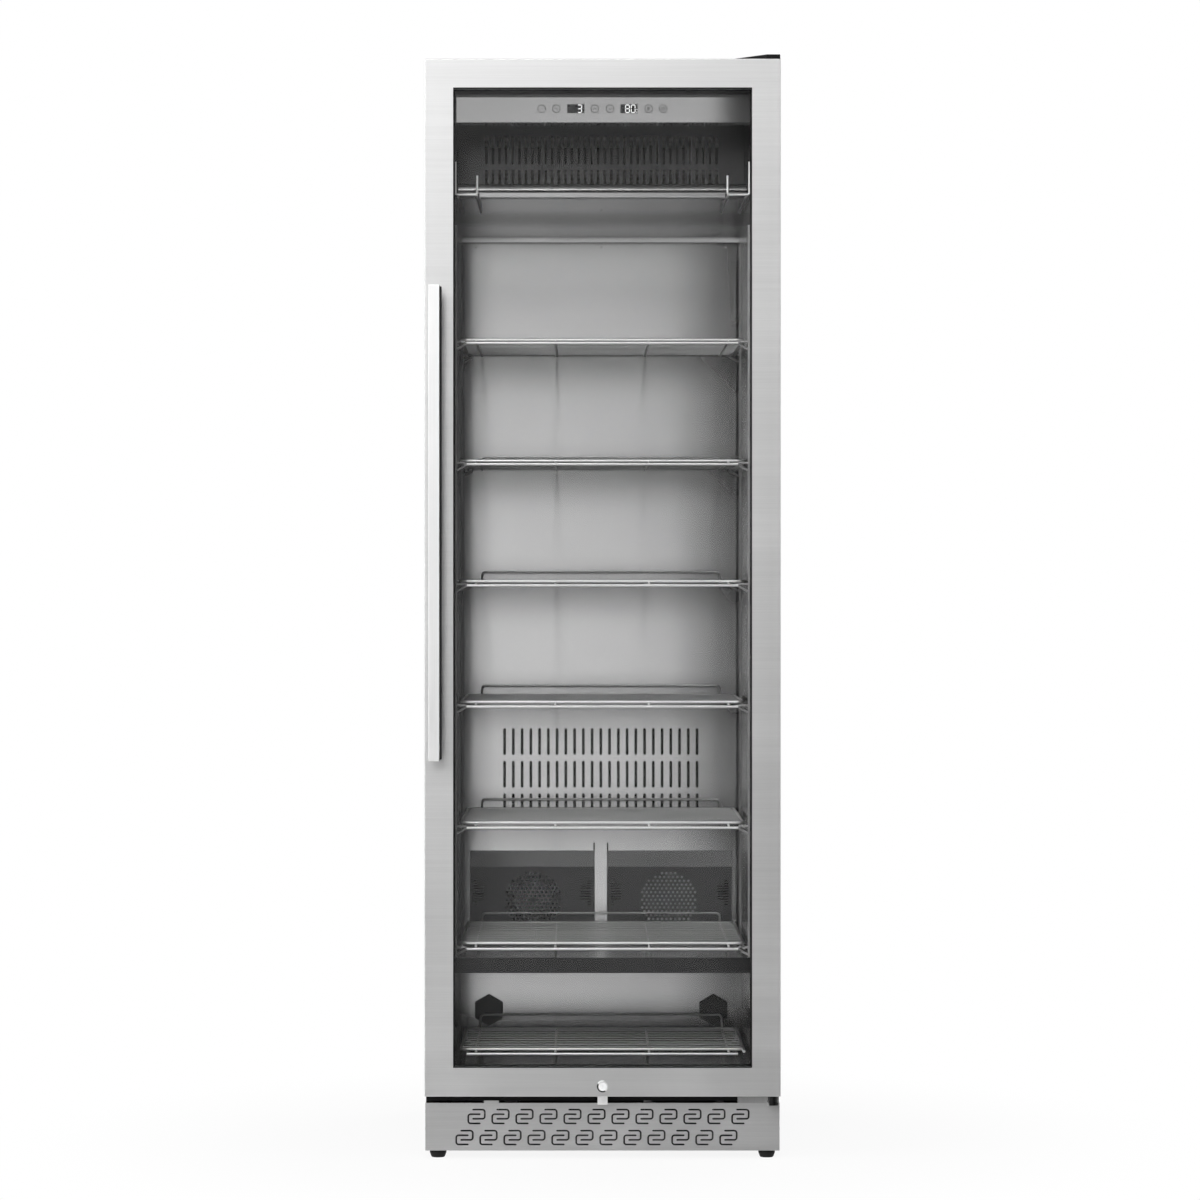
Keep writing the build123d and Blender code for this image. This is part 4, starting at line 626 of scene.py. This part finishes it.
casingPaint = {"colour": (0.028, 0.028, 0.030), "rough": 0.42, "pebbleScale": 900.0, "dust": 0.05, "marks": 0.03}
dressNodes(mouldedFinish("casingPaint", **casingPaint), "side_panels", "top_panel", "back_panel", "compressor",
           "condenser")
basePaint = {"colour": (0.008, 0.008, 0.009), "rough": 0.5, "pebbleScale": 900.0, "dust": 0.03, "specular": 0.2}
dressNodes(mouldedFinish("basePaint", **basePaint), "base_pan", "bottom_panel")
framePlastic = {"colour": (0.006, 0.006, 0.006), "rough": 0.42, "pebbleScale": 1600.0, "specular": 0.12}
dressNodes(mouldedFinish("framePlastic", **framePlastic), "front_frame", "door_core", "door_back_frame",
           "glazing_bead", "hinge_cover")
fasciaPlastic = {"colour": (0.026, 0.026, 0.027), "rough": 0.36, "pebbleScale": 1600.0, "specular": 0.3}
dressNodes(mouldedFinish("fasciaPlastic", **fasciaPlastic), "divider_fascia", "hexagon_caps", "power_inlet",
           "drip_tray")
coverCoat = {"colour": (0.075, 0.075, 0.076), "rough": 0.30, "stretch": (300, 300, 300), "spread": 0.03, "marks": 0.01,
             "depth": 0.0000002, "uneven": 0.01, "metallic": 0.73}
dressNodes(brushedFinish("coverCoat", **coverCoat), "fan_covers")
fanPlastic = {"colour": (0.010, 0.010, 0.010), "rough": 0.45, "pebbleScale": 1500.0, "specular": 0.2}
dressNodes(mouldedFinish("fanPlastic", **fanPlastic), "fan_housing")
bladePlastic = {"colour": (0.80, 0.80, 0.80), "rough": 0.45, "pebbleScale": 1200.0}
dressNodes(mouldedFinish("bladePlastic", **bladePlastic), "circulation_fan", "condenser_fan", "filter_cartridge")
displayLens = {"colour": (0.035, 0.035, 0.037), "rough": 0.12, "pebbleScale": 300.0, "depth": 0.000002}
dressNodes(mouldedFinish("displayLens", **displayLens), "display_board")
sealRubber = {"colour": (0.014, 0.014, 0.014), "rough": 0.62, "pebbleScale": 1100.0, "specular": 0.2}
dressNodes(mouldedFinish("sealRubber", **sealRubber), "door_seal", "foot_front_left", "foot_front_right",
           "foot_rear_left", "foot_rear_right")


foam = {"colour": (0.80, 0.74, 0.52), "rough": 0.9, "cellScale": 420.0, "depth": 0.0006}


def foamFinish(name, colour, rough, cellScale, depth):
    # pale cellular foam
    material, tree, shader, coords = startFinish(name)
    cells = putNode(tree, "ShaderNodeTexVoronoi")
    cells.inputs["Scale"].default_value = cellScale
    wire(tree, coords, cells.inputs["Vector"])
    tone = rangeNode(tree, cells.outputs["Distance"], 0.0, 0.8, 0.85, 1.05)
    wire(tree, tintBy(tree, colour, tone), shader.inputs["Base Color"])
    dressShader(shader, Roughness=rough)
    addBump(tree, shader, cells.outputs["Distance"], depth)
    return material


dressNodes(foamFinish("pourFoam", **foam), "insulation_foam")

paneGlass = {"tint": (0.95, 0.95, 0.95), "shadowTint": (0.72, 0.72, 0.72), "mirrorTint": (0.99, 0.99, 0.99),
             "ior": 1.18, "rough": 0.012, "markScale": 3.0, "marks": 0.02}


def paneFinish(name, tint, shadowTint, mirrorTint, ior, rough, markScale, marks):
    # glass for the camera, tinted by wipe marks; lamp light and blurred reflections pass straight through
    material, tree, shader, coords = startFinish(name)
    dressShader(shader, IOR=ior, Roughness=rough, Transmission_Weight=1.0)
    wiped = placeGroup(tree, handlingMarks, coords, Scale=markScale, Amount=marks)
    clean = mathNode(tree, "SUBTRACT", 1.0, wiped.outputs["Marks"])
    wire(tree, tintBy(tree, tint, clean), shader.inputs["Base Color"])
    path = putNode(tree, "ShaderNodeLightPath")
    glossy, throughGlass = path.outputs["Is Glossy Ray"], path.outputs["Is Transmission Ray"]
    mirrored = mathNode(tree, "SUBTRACT", glossy, throughGlass, clamp=True)
    lampLight = mathNode(tree, "MAXIMUM", path.outputs["Is Shadow Ray"], path.outputs["Is Diffuse Ray"])
    last = shader.outputs[0]
    for share, colour in ((mirrored, mirrorTint), (lampLight, shadowTint)):
        through = putNode(tree, "ShaderNodeBsdfTransparent")
        through.inputs["Color"].default_value = (*colour, 1)
        choose = putNode(tree, "ShaderNodeMixShader")
        wire(tree, share, choose.inputs[0])
        wire(tree, last, choose.inputs[1])
        wire(tree, through.outputs[0], choose.inputs[2])
        last = choose.outputs[0]
    wire(tree, last, tree.nodes["Material Output"].inputs["Surface"])
    return material


dressNodes(paneFinish("paneGlass", **paneGlass), "glass_panes")
print("stage: finishes set on the packed nodes")

# Detail pieces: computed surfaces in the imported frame, in millimetres until they are made
frameShift = 315.0


def surfacePiece(name, points, faceBlocks, material, body, slotName, smooth=False):
    # points are (x, depth behind the door's face, z) in millimetres; each block is an array of faces
    placed = np.column_stack((points[:, 0], points[:, 1] - frameShift, points[:, 2])) * mm
    mesh = bpy.data.meshes.new(name)
    mesh.from_pydata(placed.tolist(), [], sum((block.tolist() for block in faceBlocks), []))
    work = bmesh.new()
    work.from_mesh(mesh)
    bmesh.ops.recalc_face_normals(work, faces=work.faces)
    work.to_mesh(mesh)
    work.free()
    mesh.polygons.foreach_set("use_smooth", np.full(len(mesh.polygons), smooth))
    piece = bpy.data.objects.new(name, mesh)
    bpy.context.scene.collection.objects.link(piece)
    piece.data.materials.append(material)
    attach(piece, body)
    return piece


def ringQuads(rings, count, first=0, closed=False):
    # four-sided faces between each ring of points and the next; a closed set joins the last ring to the first
    ring = np.arange(rings if closed else rings - 1)[:, None]
    corner = np.arange(count)
    following = np.roll(corner, -1)
    near, far = first + ring * count, first + (ring + 1) % rings * count
    return np.stack((near + corner, near + following, far + following, far + corner), axis=-1).reshape(-1, 4)


def plates(groups, front, back):
    # a group is an array of closed outlines (outline, corner, x and z), each made a thin plate between two depths
    points, blocks, start = [], [], 0
    for group in groups:
        many, count = group.shape[:2]
        depths = np.array((front, back))[None, :, None]
        both = np.broadcast_to(group[:, None], (many, 2, count, 2))
        points.append(np.stack((both[..., 0], depths + 0 * both[..., 0], both[..., 1]), axis=-1).reshape(-1, 3))
        first = start + np.arange(many)[:, None] * 2 * count
        blocks.append(first + np.arange(count))
        blocks.append((first[:, :, None] + ringQuads(2, count)).reshape(-1, 4))
        start += 2 * count * many
    return np.vstack(points), blocks


def bars(lines, halfWidth):
    # strokes between pairs of points, with pointed ends
    start, end = np.moveaxis(np.asarray(lines, dtype=float), 1, 0)
    along = (end - start) / np.linalg.norm(end - start, axis=1, keepdims=True) * halfWidth
    side = np.column_stack((-along[:, 1], along[:, 0]))
    return np.stack((start - along, start + side, end + side, end + along, end - side, start - side), axis=1)


def ringBars(centres, radius, halfWidth, count=40):
    # rings as rows of short four-sided strokes: points on two circles, the outer and the inner, taken in pairs
    turn = np.linspace(0, 2 * np.pi, count + 1)
    circle = np.column_stack((np.cos(turn), np.sin(turn)))
    outer, inner = circle * (radius + halfWidth), circle * (radius - halfWidth)
    strokes = np.stack((outer[:-1], outer[1:], inner[1:], inner[:-1]), axis=1)
    return (np.asarray(centres)[:, None, None] + strokes).reshape(-1, 4, 2)


# Display figures: seven-stroke numbers, 3 on the left and 80 on the right, with two dots
figures = {"front": 62.18, "back": 62.38, "low": 1758.7, "high": 1771.3, "stroke": 0.66, "gap": 0.30, "glow": 1.2,
           "dotX": 58.0, "dotHeights": (1763.8, 1759.4), "dotRadius": 0.75, "dotCorners": 12}
strokesOf = {"3": "abgcd", "8": "abcdefg", "0": "abcdef"}
figurePlaces = (("3", -41.4, -35.0), ("8", 39.0, 45.4), ("0", 48.6, 55.0))


def figureLines(mark, left, right):
    # the end points of a figure's strokes; a is the top stroke and g the middle one
    low, high, gap = figures["low"], figures["high"], figures["gap"] + figures["stroke"]
    middle = (low + high) / 2
    lines = {
        "a": ((left + gap, high), (right - gap, high)), "g": ((left + gap, middle), (right - gap, middle)),
        "d": ((left + gap, low), (right - gap, low)), "f": ((left, middle + gap), (left, high - gap)),
        "b": ((right, middle + gap), (right, high - gap)), "e": ((left, low + gap), (left, middle - gap)),
        "c": ((right, low + gap), (right, middle - gap)),
    }
    return [lines[key] for key in strokesOf[mark]]


figureStrokes = bars(sum((figureLines(*place) for place in figurePlaces), []), figures["stroke"])
turn = np.linspace(0, 2 * np.pi, figures["dotCorners"], endpoint=False)
dotCircle = np.column_stack((np.cos(turn), np.sin(turn))) * figures["dotRadius"]
dotCentres = np.column_stack((np.full(2, figures["dotX"]), figures["dotHeights"]))
figureDots = dotCentres[:, None] + dotCircle
displayGlow, tree, shader, coords = startFinish("displayGlow")
dressShader(shader, Base_Color=(0.6, 0.6, 0.6, 1), Roughness=0.4, Emission_Strength=figures["glow"])
cellTone = rangeNode(tree, noiseNode(tree, coords, 900.0), 0.3, 0.7, 0.9, 1.0)
wire(tree, tintBy(tree, (1.0, 1.0, 1.0), cellTone), shader.inputs["Emission Color"])
surfacePiece("displayFigures", *plates((figureStrokes, figureDots), figures["front"], figures["back"]), displayGlow,
             "cabinet", "display")

# Touch marks: six thin rings, each with a small plain sign in it: dot, stroke, up, down, three lines, circle
marks = {"front": 61.94, "back": 61.99, "level": 1765.0, "radius": 6.4, "line": 0.62, "dot": 0.5, "circle": 2.4,
         "places": (-102.4, -77.8, -12.8, 12.8, 77.8, 102.4)}
level = marks["level"]
markCentres = np.column_stack((marks["places"], np.full(6, level)))
signLines = (
    ((-80.4, level + 1.5), (-75.2, level - 1.5)),
    ((-15.2, level - 0.9), (-12.8, level + 1.3)), ((-12.8, level + 1.3), (-10.4, level - 0.9)),
    ((10.4, level + 0.9), (12.8, level - 1.3)), ((12.8, level - 1.3), (15.2, level + 0.9)),
    ((75.6, level - 1.9), (80.0, level - 1.9)), ((75.6, level), (80.0, level)),
    ((75.6, level + 1.9), (80.0, level + 1.9)),
)
markGroups = (
    ringBars(markCentres, marks["radius"], marks["line"]),
    ringBars(markCentres[:1], marks["dot"], marks["dot"], 12),
    ringBars(markCentres[-1:], marks["circle"], marks["line"], 20),
    bars(signLines, marks["line"]),
)
printing = {"colour": (0.05, 0.05, 0.05), "rough": 0.5, "pebbleScale": 2500.0, "depth": 0.000002}
surfacePiece("touchMarks", *plates(markGroups, marks["front"], marks["back"]),
             mouldedFinish("greyPrint", **printing), "cabinet", "display")
print("stage: display figures and touch marks")

# Handle shadow strip: a dark rounded strip behind the handle's bar, painted shade beside the bar; its outline is a
# rectangle whose corners are a quarter of a superellipse, carried up the bar and drawn in at both ends
shadowStrip = {"left": -287.0, "right": -267.4, "front": -37.9, "back": -33.4, "low": 673.0, "high": 1459.0, "round": 1.4,
         "midRound": 0.5, "midHeight": 0.4, "corners": 32, "power": 0.35}
turn = np.linspace(0, 2 * np.pi, shadowStrip["corners"], endpoint=False)
ringX = np.sign(np.cos(turn)) * np.abs(np.cos(turn)) ** shadowStrip["power"]
ringY = np.sign(np.sin(turn)) * np.abs(np.sin(turn)) ** shadowStrip["power"]
midX, midY = (shadowStrip["left"] + shadowStrip["right"]) / 2, (shadowStrip["front"] + shadowStrip["back"]) / 2
halfX, halfY = (shadowStrip["right"] - shadowStrip["left"]) / 2, (shadowStrip["back"] - shadowStrip["front"]) / 2
rises = np.array((0.0, shadowStrip["midHeight"], shadowStrip["round"]))
heights = np.concatenate((shadowStrip["low"] + rises, shadowStrip["high"] - rises[::-1]))[:, None]
insets = np.array((shadowStrip["round"], shadowStrip["midRound"], 0.0, 0.0, shadowStrip["midRound"], shadowStrip["round"]))[:, None]
shadowStripPoints = np.stack((midX + ringX * (halfX - insets), midY + ringY * (halfY - insets), heights + 0 * ringX), axis=-1)
lastRing = (len(heights) - 1) * shadowStrip["corners"]
shadowStripBlocks = (ringQuads(len(heights), shadowStrip["corners"]), np.arange(shadowStrip["corners"])[None],
               lastRing + np.arange(shadowStrip["corners"])[None])
# painted shade: a near-black finish for the strip, for the shade beside the handle's bar
handleShadowFinish = {"colour": (0.030, 0.030, 0.031), "rough": 0.5, "pebbleScale": 1300.0, "specular": 0.2}
surfacePiece("handleShadowStrip", shadowStripPoints.reshape(-1, 3), shadowStripBlocks, mouldedFinish("handleShadowFinish", **handleShadowFinish), "door",
             "frame_plastic")

# Screw heads: a dome of revolution, 1 - (r/R)^4 of its height, pressed down in a cross of two soft troughs
screws = {"rings": 12, "turns": 40, "armWidth": 0.13, "armLength": 0.62, "fall": 0.75, "crossDepth": 0.6,
          "middle": 0.4, "kickRadius": 4.0, "smallRadius": 1.8, "height": 1.2}


def screwHead(centre, outward, radius):
    # the points of one head: its middle, its rings from the middle outwards and its foot
    centre, outward = np.asarray(centre), np.asarray(outward, dtype=float)
    across = np.cross(outward, (0.31, 0.17, 0.93))
    across /= np.linalg.norm(across)
    up = np.cross(outward, across)
    turn = np.linspace(0, 2 * np.pi, screws["turns"], endpoint=False)
    r, a = np.meshgrid(np.linspace(0, 1, screws["rings"] + 1)[1:], turn, indexing="ij")
    u, v = (r * np.cos(a)).ravel(), (r * np.sin(a)).ravel()
    cross = np.exp(-(u / screws["armWidth"]) ** 4) * (np.abs(v) < screws["armLength"])
    cross = cross + np.exp(-(v / screws["armWidth"]) ** 4) * (np.abs(u) < screws["armLength"])
    lift = screws["height"] * (1 - screws["fall"] * r.ravel() ** 4 - screws["crossDepth"] * np.minimum(cross, 1))
    domed = centre + radius * (np.outer(u, across) + np.outer(v, up)) + np.outer(lift, outward)
    foot = centre + radius * (np.outer(np.cos(turn), across) + np.outer(np.sin(turn), up))
    return np.vstack((centre + outward * screws["height"] * screws["middle"], domed, foot))


slopeTurn = math.atan2(53.0, 213.0)
slopeOut = (0, -math.sin(slopeTurn), -math.cos(slopeTurn))
screwPlaces = [((side * 297.5, 62.0, z), (side, 0, 0), screws["kickRadius"]) for side in (-1, 1) for z in (48.0, 77.0)]
screwPlaces += [((side * 250.0, depth, z), (-side, 0, 0), screws["smallRadius"])
                for side in (-1, 1) for depth, z in ((68.0, 1738.5), (76.0, 1734.5))]
screwPlaces += [((x, 543.0, 1571.0), (0, -1, 0), screws["smallRadius"]) for x in (-225.0, 0.0, 225.0)]
screwPlaces.append(((0.0, 386.0, 1638.0 - 56.0 * 53.0 / 213.0), slopeOut, screws["smallRadius"]))
screwPoints = np.stack([screwHead(*place) for place in screwPlaces])
corner = np.arange(screws["turns"])
fan = np.stack((0 * corner, 1 + corner, 1 + np.roll(corner, -1)), axis=-1)
eachHead = (np.arange(len(screwPlaces)) * screwPoints.shape[1])[:, None, None]
screwBlocks = ((eachHead + fan).reshape(-1, 3),
               (eachHead + ringQuads(screws["rings"] + 1, screws["turns"], first=1)).reshape(-1, 4))
heads = surfacePiece("screwHeads", screwPoints.reshape(-1, 3), screwBlocks, screwSteel, "cabinet", "bright_steel",
                     smooth=True)
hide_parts("screws")

# Door gasket: a bellows profile carried round the door with mitred corners; each side of the profile swings in
# twice between the door and the magnet strip, as half of one minus the cosine of two turns
seal = {"foot": 1.5, "pleat": 2.3, "width": 23.0, "steps": 15, "swayEnd": 0.97, "backCrown": 0.5, "frontCrown": 0.4}
sealLow, sealHigh = (np.asarray(end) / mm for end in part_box("door_seal"))
front, back = sealLow[1] + frameShift, sealHigh[1] + frameShift
share = np.linspace(0, 1, seal["steps"])
sway = seal["pleat"] * (0.5 - 0.5 * np.cos(4 * np.pi * share)) * (share < seal["swayEnd"])
sway = sway + seal["foot"] * (1 - share) ** 6
depth = front + (back - front) * share
insets = np.concatenate((sway, (seal["width"] / 2,), (seal["width"] - sway)[::-1], (seal["width"] / 2,)))
depths = np.concatenate((depth, (back - seal["backCrown"],), depth[::-1], (front + seal["frontCrown"],)))
inward = np.array(((1, 1), (-1, 1), (-1, -1), (1, -1)))[:, None]
cornerX = np.where(inward[..., 0] > 0, sealLow[0], sealHigh[0])
cornerZ = np.where(inward[..., 1] > 0, sealLow[2], sealHigh[2])
gasketPoints = np.stack((cornerX + inward[..., 0] * insets, depths + 0 * cornerX, cornerZ + inward[..., 1] * insets),
                        axis=-1)
gasket = surfacePiece("gasketBellows", gasketPoints.reshape(-1, 3), (ringQuads(4, len(insets), closed=True),),
                      mouldedFinish("gasketRubber", **sealRubber), "door", "seal_rubber")
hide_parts("door_seal")
print("stage: screw heads and gasket")
